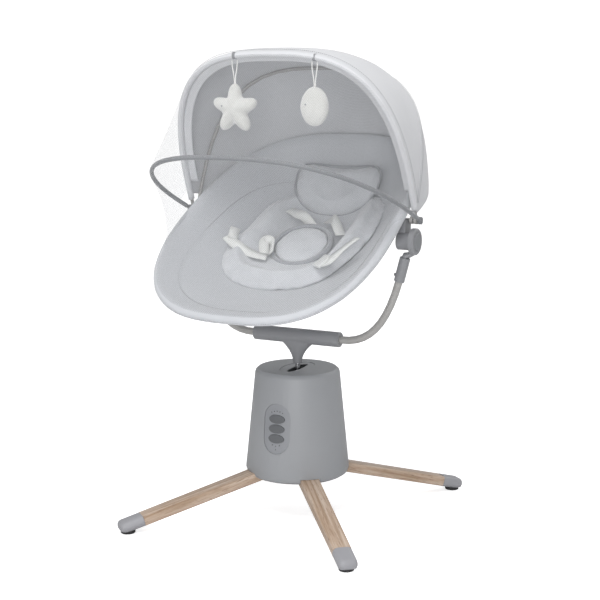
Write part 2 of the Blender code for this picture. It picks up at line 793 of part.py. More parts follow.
def make_fork(tube_metal, plastic, dark):
    for name, side in SIDES:
        foot, top, along = sleeve_axis(side)
        path = [(FORK_ROOT_X, YOKE_Z), (0.0780, YOKE_Z)]
        path += [tuple(bezier(FORK_BEND, i / 10)) for i in range(11)]
        path = [Vector((side * x, 0, z)) for x, z in path]
        path.append(foot + along * 0.0080)
        tube = sweep(path, circle(FORK_R, 12), up=(0, 1, 0))
        piece(f"fork_tube_{name}", tube, tube_metal, "swing")

        length = (top - foot).length
        sleeve = lathe(
            [(SLEEVE_BORE, 0), (SLEEVE_R - 0.001, 0), (SLEEVE_R, 0.001), (SLEEVE_R, length - 0.001),
             (SLEEVE_R - 0.001, length), (SLEEVE_BORE, length)],
            20,
        )
        turned_to(sleeve, along, foot)
        pin_at = foot + along * 0.0135
        inward = Vector((-side, 0, 0))
        hole = rod(pin_at, pin_at + inward * 0.02, 0.0033, 12)
        piece(f"sleeve_{name}", cut(sleeve, hole), plastic, "swing")
        pin = rod(pin_at + inward * 0.0045, pin_at + inward * 0.0125, 0.0029, 12)
        piece(f"sleeve_pin_{name}", pin, dark, f"sleeve_pin_{name}_pivot")


def make_hubs(plastic, dark):
    for name, side in SIDES:
        foot, top, along = sleeve_axis(side)
        ring = lathe(
            [(HUB_BORE, HUB_X[0]), (HUB_R, HUB_X[0]), (HUB_R, HUB_X[1] - 0.002),
             (HUB_R - 0.002, HUB_X[1]), (HUB_BORE, HUB_X[1])],
            32,
        )
        turned_to(ring, (side, 0, 0), (0, 0, HUB_Z))
        inside = foot + along * 0.0290
        path = [inside, top - along * 0.001, top + along * 0.004, Vector((side * 0.2345, 0, 0.5275)),
                Vector((side * 0.2430, 0, 0.5310))]
        stem = sweep(path, circle(0.0072, 12), up=(0, 1, 0), sizes=(1.0, 1.0, 0.95, 0.72, 0.50))
        piece(f"hub_ring_{name}", join(ring, stem), plastic, "swing")
        low, high = HUB_BUTTON_X
        key = lathe(
            [
                (0, low),
                (HUB_BUTTON_R, low),
                (HUB_BUTTON_R, high - 0.0015),
                (HUB_BUTTON_R - 0.002, high),
                (0, high),
            ],
            28,
        )
        turned_to(key, (side, 0, 0), (0, 0, HUB_Z))
        piece(f"hub_button_{name}", key, dark, f"hub_button_{name}_pivot")


# ---------------------------------------------------------------- seat
def make_seat_frame(tube_metal, plastic):
    count = 52
    fine = [on_rim(2 * math.pi * i / 400) for i in range(401)]
    path = even(fine, count + 1)[:-1]
    up = Vector((0, -math.sin(RIM_TILT), math.cos(RIM_TILT)))
    piece("seat_frame", sweep(path, circle(RIM_TUBE_R), True, up), tube_metal, "seat")
    y, z = CANOPY_PIVOT
    for name, side in SIDES:
        shape = rod((side * 0.2105, 0, HUB_Z), (side * 0.2392, 0, HUB_Z), 0.0165, 24)
        neck = block(
            (min(side * 0.2105, side * 0.2250), -0.0040, HUB_Z),
            (max(side * 0.2105, side * 0.2250), 0.0240, 0.5925),
        )
        pin = rod((side * 0.2200, y, z), (side * PIN_END_X, y, z), PIN_R, 12)
        piece(f"seat_bracket_{name}", join(shape, neck, pin), plastic, "seat")


def make_soft_seat(fabric, lining, webbing):
    half = SLING_HALF_THICK

    def sling_place(angle, share):
        x, u = rim_place(angle, SLING_INSET)
        middle = RIM_LENGTH / 2
        return share * x, middle + share * (u - middle)

    sling = pad(sling_place, lambda s: -half, lambda s: half, 8, 32)
    piece("seat_sling", sling, fabric, "seat")

    rest = half + 0.0016
    insert = pad(
        oval_place(0.3850, 0.1450, 0.2200, 3.0),
        lambda s: rest,
        lambda s: rest + INSERT_THICK * (1 - 0.6 * s**6),
        6,
        28,
    )
    piece("newborn_insert", insert, lining, "seat")

    rest = rest + INSERT_THICK + 0.0008
    pillow = pad(
        oval_place(0.5450, 0.0850, 0.0560, 2.6),
        lambda s: rest,
        lambda s: rest + 0.0040 + 0.0240 * (1 - s**2) ** 0.5,
        4,
        20,
    )
    piece("head_pillow", pillow, lining, "seat")

    crotch = lathe(
        [(0, -0.0080), (0.040, -0.0070), (0.0505, -0.0040), (0.0535, 0),
         (0.0505, 0.0040), (0.040, 0.0070), (0, 0.0080)],
        28,
    )
    turned_to(crotch, (0, -math.sin(math.radians(32)), math.cos(math.radians(32))), (0, 0.0200, 0.5340))
    piece("crotch_pad", crotch, fabric, "seat")

    strap = [(-0.0095, -0.0009), (0.0095, -0.0009), (0.0095, 0.0009), (-0.0095, 0.0009)]
    for name, side in SIDES:
        knots = [
            sling_point(side * 0.112, 0.318, 0.0262),
            Vector((side * 0.082, -0.004, 0.5480)),
            Vector((side * 0.066, 0.046, 0.5560)),
            sling_point(side * 0.054, 0.455, 0.0330),
        ]
        path = [bezier(knots, i / 8) for i in range(9)]
        band = sweep(path, strap, up=(0, -0.35, 0.94))
        piece(f"harness_{name}", band, webbing, "seat")


# ---------------------------------------------------------------- canopy, net and toys
def make_canopy(tube_metal, fabric):
    piece("canopy_front_hoop", hoop_shape(FRONT_HOOP), tube_metal, "canopy_front")
    piece("canopy_mid_hoop", hoop_shape(MID_HOOP), tube_metal, "canopy_mid")
    columns = 25
    rows = 6
    front = hoop_turns(FRONT_HOOP, columns)
    middle = hoop_turns(MID_HOOP, columns)
    grid = []
    for i in range(rows):
        share = i / (rows - 1)
        row = []
        for a, b in zip(front, middle):
            first = hoop_point(FRONT_HOOP, a, tilt=leaned(FRONT_HOOP, a, FABRIC_GAP))
            last = hoop_point(MID_HOOP, b, tilt=leaned(MID_HOOP, b, -FABRIC_GAP))
            row.append(arc_between(first, last, share))
        grid.append(row)
    piece("canopy_front_panel", sheet(grid, FABRIC), fabric, "canopy_front")
    turns = hoop_turns(REAR_PANEL, columns)
    grid = []
    for i in range(rows):
        share = i / (rows - 1)
        tilt = MID_HOOP[3] + share * (REAR_PANEL[3] - MID_HOOP[3])
        grid.append([hoop_point(REAR_PANEL, turn, tilt=tilt) for turn in turns])
    piece("canopy_rear_panel", sheet(grid, FABRIC), fabric, "seat")


def arc_between(first, last, share):
    """Turn from one point to the other about the canopy's hinge axis."""
    y, z = CANOPY_PIVOT
    lean = [math.atan2(p.y - y, p.z - z) for p in (first, last)]
    reach = [math.hypot(p.y - y, p.z - z) for p in (first, last)]
    angle = lean[0] + share * (lean[1] - lean[0])
    radius = reach[0] + share * (reach[1] - reach[0])
    x = first.x + share * (last.x - first.x)
    return Vector((x, y + radius * math.sin(angle), z + radius * math.cos(angle)))


def make_net(tube_metal, mesh_fabric):
    piece("net_bow", hoop_shape(NET_BOW), tube_metal, "net")
    columns = 25
    front = hoop_turns(FRONT_HOOP, columns)
    bow = hoop_turns(NET_BOW, columns)
    outside = HOOP_TUBE_R + 0.0018
    fine = [on_rim(math.radians(-12 - 156 * i / 300), 0.0100) for i in range(301)]
    rim = even(fine, columns)
    grid = []
    for i in range(4):
        share = i / 3
        row = []
        for a, b in zip(front, bow):
            first = hoop_point(FRONT_HOOP, a, tilt=leaned(FRONT_HOOP, a, -FABRIC_GAP))
            row.append(first.lerp(hoop_point(NET_BOW, b, outside), share))
        grid.append(row)
    last = grid[-1]
    for share in (0.5, 1.0):
        grid.append([a.lerp(b, share) for a, b in zip(last, rim)])
    piece("insect_net", sheet(grid, NET_THICK), mesh_fabric, "net")


def hoop_centre(x):
    """The front hoop's middle line over x, near the top of the arch."""
    path = hoop_path(FRONT_HOOP, HOOP_POINTS)
    first, second = next(pair for pair in zip(path, path[1:]) if pair[1].x <= x)
    return first.lerp(second, (first.x - x) / (first.x - second.x))


def make_toy_rings(plastic):
    for name, x in TOY_X.items():
        centre = hoop_centre(x)
        ring = lathe(
            [(RING_R - RING_WALL, -RING_WIDTH / 2), (RING_R, -RING_WIDTH / 2),
             (RING_R, RING_WIDTH / 2), (RING_R - RING_WALL, RING_WIDTH / 2)],
            16,
        )
        turned_to(ring, (1, 0, 0), centre)
        piece(f"{name}_ring", ring, plastic, f"{name}_ring_pivot")


def toy_pivot(name):
    """Where a toy's cord hangs: the lowest point of its ring."""
    ring = hoop_centre(TOY_X[name])
    return ring[0], ring[1], ring[2] - CORD_DROP


def make_toys(plush):
    x, y, top = toy_pivot("star")
    star = []
    for i in range(10):
        radius = STAR_R[i % 2]
        angle = math.pi / 2 + math.pi * i / 5
        star.append((x + radius * math.cos(angle), STAR_CENTRE_Z + radius * math.sin(angle)))
    shape = prism(star, y - TOY_THICK / 2, y + TOY_THICK / 2, "Y")
    upright = [e for e in shape.edges if abs(e.verts[0].co.y - e.verts[1].co.y) > 0.01]
    bmesh.ops.bevel(shape, geom=upright, offset=0.0070, segments=2, affect="EDGES", profile=0.5)
    cord = rod((x, y, STAR_CENTRE_Z + 0.030), (x, y, top - GAP), TOY_CORD_R, 6)
    piece("star_toy", join(shape, cord), plush, "star")
    x, y, top = toy_pivot("drop")
    rings = 8
    outline = [(0, -DROP_HALF[1])]
    for i in range(1, rings):
        angle = math.pi * i / rings
        fat = 1 + 0.10 * math.cos(angle)
        outline.append((DROP_HALF[0] * fat * math.sin(angle), -DROP_HALF[1] * math.cos(angle)))
    outline.append((0, DROP_HALF[1]))
    shape = lathe(outline, 16)
    bmesh.ops.scale(shape, verts=shape.verts, vec=(1.0, 0.55, 1.0))
    bmesh.ops.translate(shape, verts=shape.verts, vec=(x, y, DROP_CENTRE_Z))
    cord = rod((x, y, DROP_CENTRE_Z + 0.030), (x, y, top - GAP), TOY_CORD_R, 6)
    piece("drop_toy", join(shape, cord), plush, "drop")


# ---------------------------------------------------------------- assembly
def make_pivots():
    pivot("base", (0, 0, 0))
    pivot("swing", (0, 0, PIVOT_Z), "base")
    pivot("seat", (0, 0, HUB_Z), "swing")
    pivot("canopy_front", (0, *CANOPY_PIVOT), "seat")
    pivot("canopy_mid", (0, *CANOPY_PIVOT), "seat")
    pivot("net", (0, *CANOPY_PIVOT), "seat")
    for name, x in TOY_X.items():
        pivot(f"{name}_ring_pivot", hoop_centre(x), "canopy_front")
        pivot(name, toy_pivot(name), f"{name}_ring_pivot")
    for name, side in SIDES:
        foot, top, along = sleeve_axis(side)
        pivot(f"sleeve_pin_{name}_pivot", foot + along * 0.0135, "swing")
        pivot(f"hub_button_{name}_pivot", (side * HUB_BUTTON_X[1], 0, HUB_Z), "swing")
    for k, name in zip((1, 0, -1), ("speed", "timer", "music")):
        pivot(f"{name}_button_pivot", (0, -base_radius(PANEL_Z), PANEL_Z + k * BUTTON_PITCH), "base")


def main():
    clear_scene()
    make_pivots()
    shell = finish("matt_grey_plastic", (0.36, 0.37, 0.385), 0.45)
    panel = finish("panel_plastic", (0.30, 0.31, 0.32), 0.40)
    mid_grey = finish("mid_grey_plastic", (0.27, 0.275, 0.28), 0.45)
    dark = finish("dark_grey_plastic", (0.10, 0.105, 0.11), 0.50)
    black = finish("black_plastic", (0.03, 0.03, 0.03), 0.55)
    tube = finish("grey_painted_tube", (0.38, 0.38, 0.375), 0.35, 0.6)
    steel = finish("bright_steel", (0.62, 0.62, 0.63), 0.25, 1.0)
    copper = finish("enamelled_copper", (0.60, 0.28, 0.14), 0.35, 1.0)
    clear = finish("clear_acrylic", (0.80, 0.82, 0.85), 0.15)
    wood = finish("pale_oak", (0.48, 0.33, 0.22), 0.50)
    rubber = finish("black_rubber", (0.02, 0.02, 0.02), 0.80)
    fabric = finish("light_grey_fabric", (0.52, 0.53, 0.55), 0.90)
    lining = finish("soft_grey_lining", (0.56, 0.57, 0.58), 0.95)
    webbing = finish("white_webbing", (0.70, 0.71, 0.70), 0.60)
    netting = finish("white_netting", (0.80, 0.80, 0.80), 0.80)
    plush = finish("cream_plush", (0.70, 0.70, 0.68), 0.95)

    make_housing(shell)
    make_base_closures(shell, mid_grey)
    buttons = [(f"{name}_button", f"{name}_button_pivot") for name in ("speed", "timer", "music")]
    make_controls(panel, dark, clear, buttons)
    make_drive(steel, black, copper, black)
    make_legs(wood, mid_grey, rubber)
    make_swing_arm(steel, dark)
    make_yoke(mid_grey)
    make_fork(tube, mid_grey, dark)
    make_hubs(mid_grey, dark)
    make_seat_frame(tube, mid_grey)
    make_soft_seat(fabric, lining, webbing)
    make_canopy(tube, fabric)
    make_net(tube, netting)
    make_toy_rings(mid_grey)
    make_toys(plush)


main()
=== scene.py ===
# %% [markdown]
# # A baby swing, dressed
# The moving frame of this swing comes from its engineering model. This script gives it everything the
# eye looks for: cloth with a weave, padded cushions, sheer net, oak grain and moulded plastic. Each cell
# makes one part of the real object. We start by loading the frame.

import json
import math

import bmesh
import bpy
from mathutils import Matrix, Vector, noise


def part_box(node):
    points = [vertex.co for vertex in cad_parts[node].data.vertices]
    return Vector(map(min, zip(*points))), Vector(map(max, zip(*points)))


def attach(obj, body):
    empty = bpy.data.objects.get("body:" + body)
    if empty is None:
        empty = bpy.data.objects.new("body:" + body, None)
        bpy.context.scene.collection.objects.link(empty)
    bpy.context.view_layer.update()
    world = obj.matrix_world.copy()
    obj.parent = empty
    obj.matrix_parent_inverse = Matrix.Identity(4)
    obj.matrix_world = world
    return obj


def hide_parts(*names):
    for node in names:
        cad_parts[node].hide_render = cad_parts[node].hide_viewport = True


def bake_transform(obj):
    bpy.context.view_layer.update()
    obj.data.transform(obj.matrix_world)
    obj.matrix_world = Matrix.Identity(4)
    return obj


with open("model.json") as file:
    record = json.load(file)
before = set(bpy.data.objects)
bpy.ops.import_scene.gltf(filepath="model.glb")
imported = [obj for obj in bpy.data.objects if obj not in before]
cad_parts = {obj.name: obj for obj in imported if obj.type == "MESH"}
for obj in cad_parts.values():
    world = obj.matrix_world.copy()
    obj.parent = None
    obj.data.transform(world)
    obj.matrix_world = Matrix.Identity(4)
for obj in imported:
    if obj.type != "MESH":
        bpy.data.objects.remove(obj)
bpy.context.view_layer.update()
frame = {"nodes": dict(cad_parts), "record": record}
scene = bpy.context.scene
MM = 0.001

# %% [markdown]
# ## The camera, the light and the floor
# We look slightly down on the swing from its front right, from nearly three metres, as a shop's
# catalogue shows such things. A long lens keeps the legs from spreading. The light is a big soft box
# above the camera, a second one on the right and a pale room around it.

# %% Camera, lights and floor
CAMERA_TURN = math.radians(26.3)
CAMERA_DISTANCE = 2.768
CAMERA_HEIGHT = 0.9068
CAMERA_DOWN = math.radians(9.9)
CAMERA_HEADING = math.radians(26.2)
FOCAL_MM = 86.76

post_low, post_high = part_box("neck_post")
AXIS_Y = (post_low.y + post_high.y) / 2


def linear(hex_colour):
    """An sRGB hex colour as the linear numbers that shaders use."""
    channels = [int(hex_colour[i : i + 2], 16) / 255 for i in (1, 3, 5)]
    return [c / 12.92 if c <= 0.04045 else ((c + 0.055) / 1.055) ** 2.4 for c in channels] + [1.0]


def link(item):
    scene.collection.objects.link(item)
    return item


camera = link(bpy.data.objects.new("camera", bpy.data.cameras.new("camera")))
camera.data.lens = FOCAL_MM
camera.location = (
    CAMERA_DISTANCE * math.sin(CAMERA_TURN),
    AXIS_Y - CAMERA_DISTANCE * math.cos(CAMERA_TURN),
    CAMERA_HEIGHT,
)
camera.rotation_euler = (math.pi / 2 - CAMERA_DOWN, 0, CAMERA_HEADING)
scene.camera = camera


def soft_box(name, place, size, power, aim=(0, 0, 0.5)):
    lamp = bpy.data.lights.new(name, "AREA")
    lamp.shape = "DISK"
    lamp.size = size
    lamp.energy = power
    made = link(bpy.data.objects.new(name, lamp))
    made.location = place
    made.rotation_euler = (Vector(aim) - Vector(place)).to_track_quat("-Z", "Y").to_euler()


soft_box("key_light", (0.1, -1.5, 2.9), 1.8, 42)
soft_box("fill_light", (1.2, -3.0, 1.0), 1.4, 50)
soft_box("back_light", (0.9, 2.2, 2.2), 1.6, 18)
ROOM_LIGHT = 0.60  # how much the room lights the swing
ROOM_SEEN = 1.10  # how bright the room itself looks behind it
world = scene.world or bpy.data.worlds.new("studio")
scene.world = world
world.use_nodes = True
room = world.node_tree.nodes["Background"]
room.inputs["Color"].default_value = linear("#FFFFFF")
seen = world.node_tree.nodes.new("ShaderNodeLightPath").outputs["Is Camera Ray"]
level = world.node_tree.nodes.new("ShaderNodeMapRange")
level.inputs["To Min"].default_value = ROOM_LIGHT
level.inputs["To Max"].default_value = ROOM_SEEN
world.node_tree.links.new(seen, level.inputs["Value"])
world.node_tree.links.new(level.outputs["Result"], room.inputs["Strength"])
scene.view_settings.view_transform = "Standard"

bpy.ops.mesh.primitive_plane_add(size=16)
floor = bpy.context.object
floor.name = "studio_floor"
print("the camera stands", round(camera.location.length, 2), "metres away")

# %% [markdown]
# ## Finishes
# Every finish starts from the real material and how it was made. One function adds a shader node, with its
# settings and its links, and every recipe below is written with it. Cloth is patterned on the piece's own
# UV map, which we lay out in metres, so a thread is the same size everywhere.


# %% The one function that adds a node
def add(tree, kind, out=0, links=None, **settings):
    """Add a node, set its values by name, link its inputs, and return the output asked for."""
    node = tree.nodes.new(kind)
    for key, value in settings.items():
        if hasattr(node, key):
            setattr(node, key, value)
        else:
            node.inputs[key.replace("_", " ")].default_value = value
    for socket, source in (links or {}).items():
        tree.links.new(source, node.inputs[socket])
    return node.outputs[out]


def new_material(name, **settings):
    """A Principled material; its plain values are set on the shader's own sockets."""
    made = bpy.data.materials.new(name)
    made.use_nodes = True
    shader = made.node_tree.nodes["Principled BSDF"]
    for key, value in settings.items():
        shader.inputs[key.replace("_", " ")].default_value = value
    return made, made.node_tree, shader


def feed(tree, shader, **sources):
    for key, source in sources.items():
        tree.links.new(source, shader.inputs[key.replace("_", " ")])


def blend_colours(tree, factor, low, high):
    """A two-stop ramp from one hex colour to another."""
    node = tree.nodes.new("ShaderNodeValToRGB")
    node.color_ramp.elements[0].color = linear(low)
    node.color_ramp.elements[1].color = linear(high)
    tree.links.new(factor, node.inputs[0])
    return node.outputs[0]


def wave_scale(period_mm):
    """Blender's wave texture repeats every pi / 10 units at scale 1."""
    return math.pi / (10 * period_mm * MM)


# %% [markdown]
# Woven polyester cloth: two sets of threads cross, so two wave patterns multiplied give the little hills of
# a plain weave. The real threads are about 0.4 mm wide, too fine to see from here, so they are drawn at
# 1.8 mm. Slow noise makes the pale and dark flecks of a melange yarn.


# %% Woven cloth
def woven(name, light, dark, thread_mm=1.8, rough=0.9, sheen=0.25, depth_mm=0.25):
    made, tree, shader = new_material(name, Roughness=rough, Sheen_Weight=sheen, Sheen_Roughness=0.5)
    shader.inputs["Specular IOR Level"].default_value = 0.25
    place = add(tree, "ShaderNodeTexCoord", out=2)
    warp = add(tree, "ShaderNodeTexWave", out=1, links={"Vector": place}, Scale=wave_scale(thread_mm),
               bands_direction="X")
    weft = add(tree, "ShaderNodeTexWave", out=1, links={"Vector": place}, Scale=wave_scale(thread_mm),
               bands_direction="Y")
    hills = add(tree, "ShaderNodeMath", operation="MULTIPLY", links={0: warp, 1: weft})
    fleck = add(tree, "ShaderNodeTexNoise", links={"Vector": place}, Scale=420.0, Detail=3.0)
    cloud = add(tree, "ShaderNodeTexNoise", links={"Vector": place}, Scale=9.0, Detail=2.0)
    mixed = add(tree, "ShaderNodeMath", operation="ADD", links={0: fleck, 1: cloud})
    shade = add(tree, "ShaderNodeMath", operation="MULTIPLY", links={0: mixed})
    shade.node.inputs[1].default_value = 0.5
    low = add(tree, "ShaderNodeMath", operation="MULTIPLY_ADD", links={0: hills, 2: shade})
    low.node.inputs[1].default_value = 0.12
    bump = add(tree, "ShaderNodeBump", links={"Height": hills}, Strength=0.5, Distance=depth_mm * MM)
    feed(tree, shader, Base_Color=blend_colours(tree, low, dark, light), Normal=bump)
    return made


# %% [markdown]
# Brushed cotton jersey has no visible thread: its surface is a short nap. Noise at two sizes gives the
# fuzz and the soft mottling, and a strong sheen catches the light at the edges. It works on Object
# coordinates, so it also suits cushions that were re-meshed and have no UV map.


# %% Brushed cloth and plush
def brushed(name, light, dark, nap_mm=1.2, rough=1.0, sheen=0.5, depth_mm=0.3):
    made, tree, shader = new_material(name, Roughness=rough, Sheen_Weight=sheen, Sheen_Roughness=0.6)
    shader.inputs["Specular IOR Level"].default_value = 0.15
    place = add(tree, "ShaderNodeTexCoord", out=3)
    nap = add(tree, "ShaderNodeTexNoise", links={"Vector": place}, Scale=1 / (nap_mm * MM), Detail=4.0)
    mottle = add(tree, "ShaderNodeTexNoise", links={"Vector": place}, Scale=28.0, Detail=2.0)
    mixed = add(tree, "ShaderNodeMath", operation="MULTIPLY_ADD", links={0: nap, 2: mottle})
    mixed.node.inputs[1].default_value = 0.5
    shade = add(tree, "ShaderNodeMath", operation="SUBTRACT", links={0: mixed})
    shade.node.inputs[1].default_value = 0.25
    bump = add(tree, "ShaderNodeBump", links={"Height": nap}, Strength=0.6, Distance=depth_mm * MM)
    feed(tree, shader, Base_Color=blend_colours(tree, shade, dark, light), Normal=bump)
    return made


# %% [markdown]
# Moulded plastic leaves the tool with a fine spark-eroded texture, which scatters the light a little. Painted
# tube is smoother. Both get a faint unevenness in colour and gloss, because no moulding is perfectly even.


# %% Moulded plastic and painted tube
def moulded(name, light, dark, rough, grain_mm=0.8, depth_mm=0.03, metal=0.0):
    made, tree, shader = new_material(name, Metallic=metal)
    place = add(tree, "ShaderNodeTexCoord", out=3)
    grain = add(tree, "ShaderNodeTexNoise", links={"Vector": place}, Scale=1 / (grain_mm * MM), Detail=3.0)
    cloud = add(tree, "ShaderNodeTexNoise", links={"Vector": place}, Scale=14.0, Detail=2.0)
    gloss = add(tree, "ShaderNodeMapRange", links={"Value": cloud}, To_Min=rough - 0.05, To_Max=rough + 0.07)
    bump = add(tree, "ShaderNodeBump", links={"Height": grain}, Strength=0.4, Distance=depth_mm * MM)
    feed(tree, shader, Base_Color=blend_colours(tree, cloud, dark, light), Roughness=gloss, Normal=bump)
    return made


# %% [markdown]
# Each leg is a solid oak bar, so its grain runs along the bar. The pattern is turned to lie along the leg
# and then stretched: long, thin noise for the growth lines, and short dark dashes for the pores.


# %% Oak
def oak(name, turn, slope):
    made, tree, shader = new_material(name, Roughness=0.42, Coat_Weight=0.12, Coat_Roughness=0.3)
    place = add(tree, "ShaderNodeTexCoord", out=3)
    turned = add(tree, "ShaderNodeMapping", links={"Vector": place}, vector_type="TEXTURE",
                 Rotation=(0, slope, turn))
    along = add(tree, "ShaderNodeMapping", links={"Vector": turned}, Scale=(3.0, 60.0, 60.0))
    growth = add(tree, "ShaderNodeTexNoise", links={"Vector": along}, Scale=2.2, Detail=5.0, Distortion=0.6)
    dash = add(tree, "ShaderNodeMapping", links={"Vector": turned}, Scale=(60.0, 900.0, 900.0))
    pores = add(tree, "ShaderNodeTexNoise", links={"Vector": dash}, Scale=1.0, Detail=1.0)
    deep = add(tree, "ShaderNodeMapRange", links={"Value": pores}, From_Min=0.60, From_Max=0.72)
    node = tree.nodes.new("ShaderNodeValToRGB")
    for stop, colour in ((0.30, "#8F765E"), (0.50, "#AA9481"), (0.68, "#BCAB9B")):
        element = node.color_ramp.elements.new(stop)
        element.color = linear(colour)
    node.color_ramp.elements.remove(node.color_ramp.elements[0])
    node.color_ramp.elements.remove(node.color_ramp.elements[-1])
    tree.links.new(growth, node.inputs[0])
    dark = add(tree, "ShaderNodeMix", out=2, data_type="RGBA", links={0: deep, 6: node.outputs[0]})
    dark.node.inputs[7].default_value = linear("#7A6250")
    bump = add(tree, "ShaderNodeBump", links={"Height": growth}, Strength=0.25, Distance=0.2 * MM)
    feed(tree, shader, Base_Color=dark, Normal=bump)
    return made


# %% [markdown]
# The insect net is knitted from hair-thin white yarn. Its mesh is about 1.5 mm, drawn here at 3 mm so that
# it shows. Two diagonal waves cross: where either is high there is yarn, and elsewhere we look through.


# %% Net
def netting(name, colour):
    made, tree, shader = new_material(name, Roughness=0.7, Base_Color=linear(colour), Sheen_Weight=0.3)
    place = add(tree, "ShaderNodeTexCoord", out=2)
    turned = add(tree, "ShaderNodeMapping", links={"Vector": place}, Rotation=(0, 0, math.pi / 4))
    one = add(tree, "ShaderNodeTexWave", out=1, links={"Vector": turned}, Scale=wave_scale(3.0),
              bands_direction="X")
    two = add(tree, "ShaderNodeTexWave", out=1, links={"Vector": turned}, Scale=wave_scale(3.0),
              bands_direction="Y")
    yarn = add(tree, "ShaderNodeMath", operation="MAXIMUM", links={0: one, 1: two})
    seen = add(tree, "ShaderNodeMapRange", links={"Value": yarn}, From_Min=0.55, From_Max=0.98,
               To_Min=0.03, To_Max=0.13)
    feed(tree, shader, Alpha=seen)
    return made


# %% The finishes of this swing
SEAT_CLOTH = woven("woven_seat_polyester", "#BEC0C4", "#AAACB0")
CANOPY_CLOTH = woven("woven_canopy_polyester", "#C8C9CC", "#B9BABD", thread_mm=1.6)
LINING = brushed("brushed_cotton_jersey", "#C6C8CC", "#AEB0B4")
PIPING = brushed("piping_cord_jersey", "#9A9CA0", "#85878B", nap_mm=0.8)
BOW_TRIM = woven("bow_sleeve_webbing", "#828487", "#6C6E71", thread_mm=1.4)
PLUSH = brushed("short_pile_plush", "#CCCCC9", "#B4B4B0", nap_mm=2.2, sheen=0.8, depth_mm=0.9)
WEBBING = woven("satin_harness_webbing", "#DCDDDB", "#C4C5C3", thread_mm=2.4, rough=0.45, sheen=0.1)
CORD = woven("twisted_white_cord", "#E0E0DE", "#C6C6C4", thread_mm=1.5)
NET = netting("knitted_insect_net", "#B9BBBE")
THREAD = brushed("sewing_thread", "#8E9094", "#7A7C80", nap_mm=0.6)
SHELL = moulded("spark_textured_abs", "#8E9093", "#888A8D", 0.48)
PANEL = moulded("satin_panel_abs", "#85878B", "#7F8185", 0.38, grain_mm=0.5)
JOINT = moulded("satin_joint_nylon", "#828386", "#7A7B7E", 0.42)
KEYS = moulded("soft_touch_keys", "#5C5E61", "#545659", 0.55)
HUB_KEY = moulded("satin_hub_key", "#7B7D80", "#737578", 0.45)
CAPS = moulded("foot_cap_nylon", "#929296", "#88888C", 0.5)
DARK = moulded("black_moulding", "#3A3B3D", "#303133", 0.5)
TUBE = moulded("powder_coated_tube", "#9C9B99", "#949290", 0.34, grain_mm=0.6, metal=0.1)
BOW_TUBE = moulded("grey_coated_bow_rod", "#7C7E81", "#727477", 0.4)
STEEL = moulded("ground_steel", "#C9CACC", "#B4B5B8", 0.24, metal=1.0)
COPPER = moulded("enamelled_copper", "#B4663A", "#A05830", 0.35, metal=1.0)
GLOW = moulded("smoked_light_guide", "#55575A", "#4A4C4F", 0.2)
BUCKLE = moulded("white_buckle_acetal", "#D4D5D4", "#CACBCA", 0.35)
RUBBER = moulded("black_foot_rubber", "#2A2A2B", "#222223", 0.8)
FLOOR = moulded("matt_white_floor", "#E8E8E9", "#E4E4E5", 0.9)
glow = FLOOR.node_tree.nodes["Principled BSDF"]
glow.inputs["Emission Color"].default_value = linear("#FFFFFF")
camera_only = add(FLOOR.node_tree, "ShaderNodeLightPath")
lift = add(FLOOR.node_tree, "ShaderNodeMath", operation="MULTIPLY", links={0: camera_only})
lift.node.inputs[1].default_value = 0.62
feed(FLOOR.node_tree, glow, Emission_Strength=lift)
floor.data.materials.append(FLOOR)
print(len(bpy.data.materials), "finishes")

# %% [markdown]
# ## The engineering parts
# The parts that came with the frame keep their shape. Their meshes are loose triangles, so a small Geometry
# Nodes tree welds them and smooths every edge that is less than 35 degrees sharp.


# %% Finish the frame's own parts
def smoothing_tree():
    tree = bpy.data.node_groups.new("weld_and_smooth", "GeometryNodeTree")
    tree.interface.new_socket("Geometry", in_out="INPUT", socket_type="NodeSocketGeometry")
    tree.interface.new_socket("Geometry", in_out="OUTPUT", socket_type="NodeSocketGeometry")
    start = tree.nodes.new("NodeGroupInput").outputs[0]
    joined = add(tree, "GeometryNodeMergeByDistance", links={"Geometry": start}, Distance=0.00002)
    angle = add(tree, "GeometryNodeInputMeshEdgeAngle")
    sharp = add(tree, "FunctionNodeCompare", links={0: angle}, operation="GREATER_THAN")
    sharp.node.inputs[1].default_value = math.radians(35)
    faces = add(tree, "GeometryNodeSetShadeSmooth", links={0: joined}, domain="FACE")
    edges = add(tree, "GeometryNodeSetShadeSmooth", links={0: faces, 1: sharp}, domain="EDGE")
    edges.node.inputs[2].default_value = False
    end = tree.nodes.new("NodeGroupOutput")
    tree.links.new(edges, end.inputs[0])
    return tree


SMOOTH = smoothing_tree()
CORNERS = ("front_right", "back_right", "front_left", "back_left")
leg_slope = math.radians(14.5)
leg_finish = {}
for corner in CORNERS:
    low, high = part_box(f"leg_{corner}")
    middle = (low + high) / 2
    leg_finish[corner] = oak(f"oiled_oak_{corner}", math.atan2(middle.y - AXIS_Y, middle.x), leg_slope)

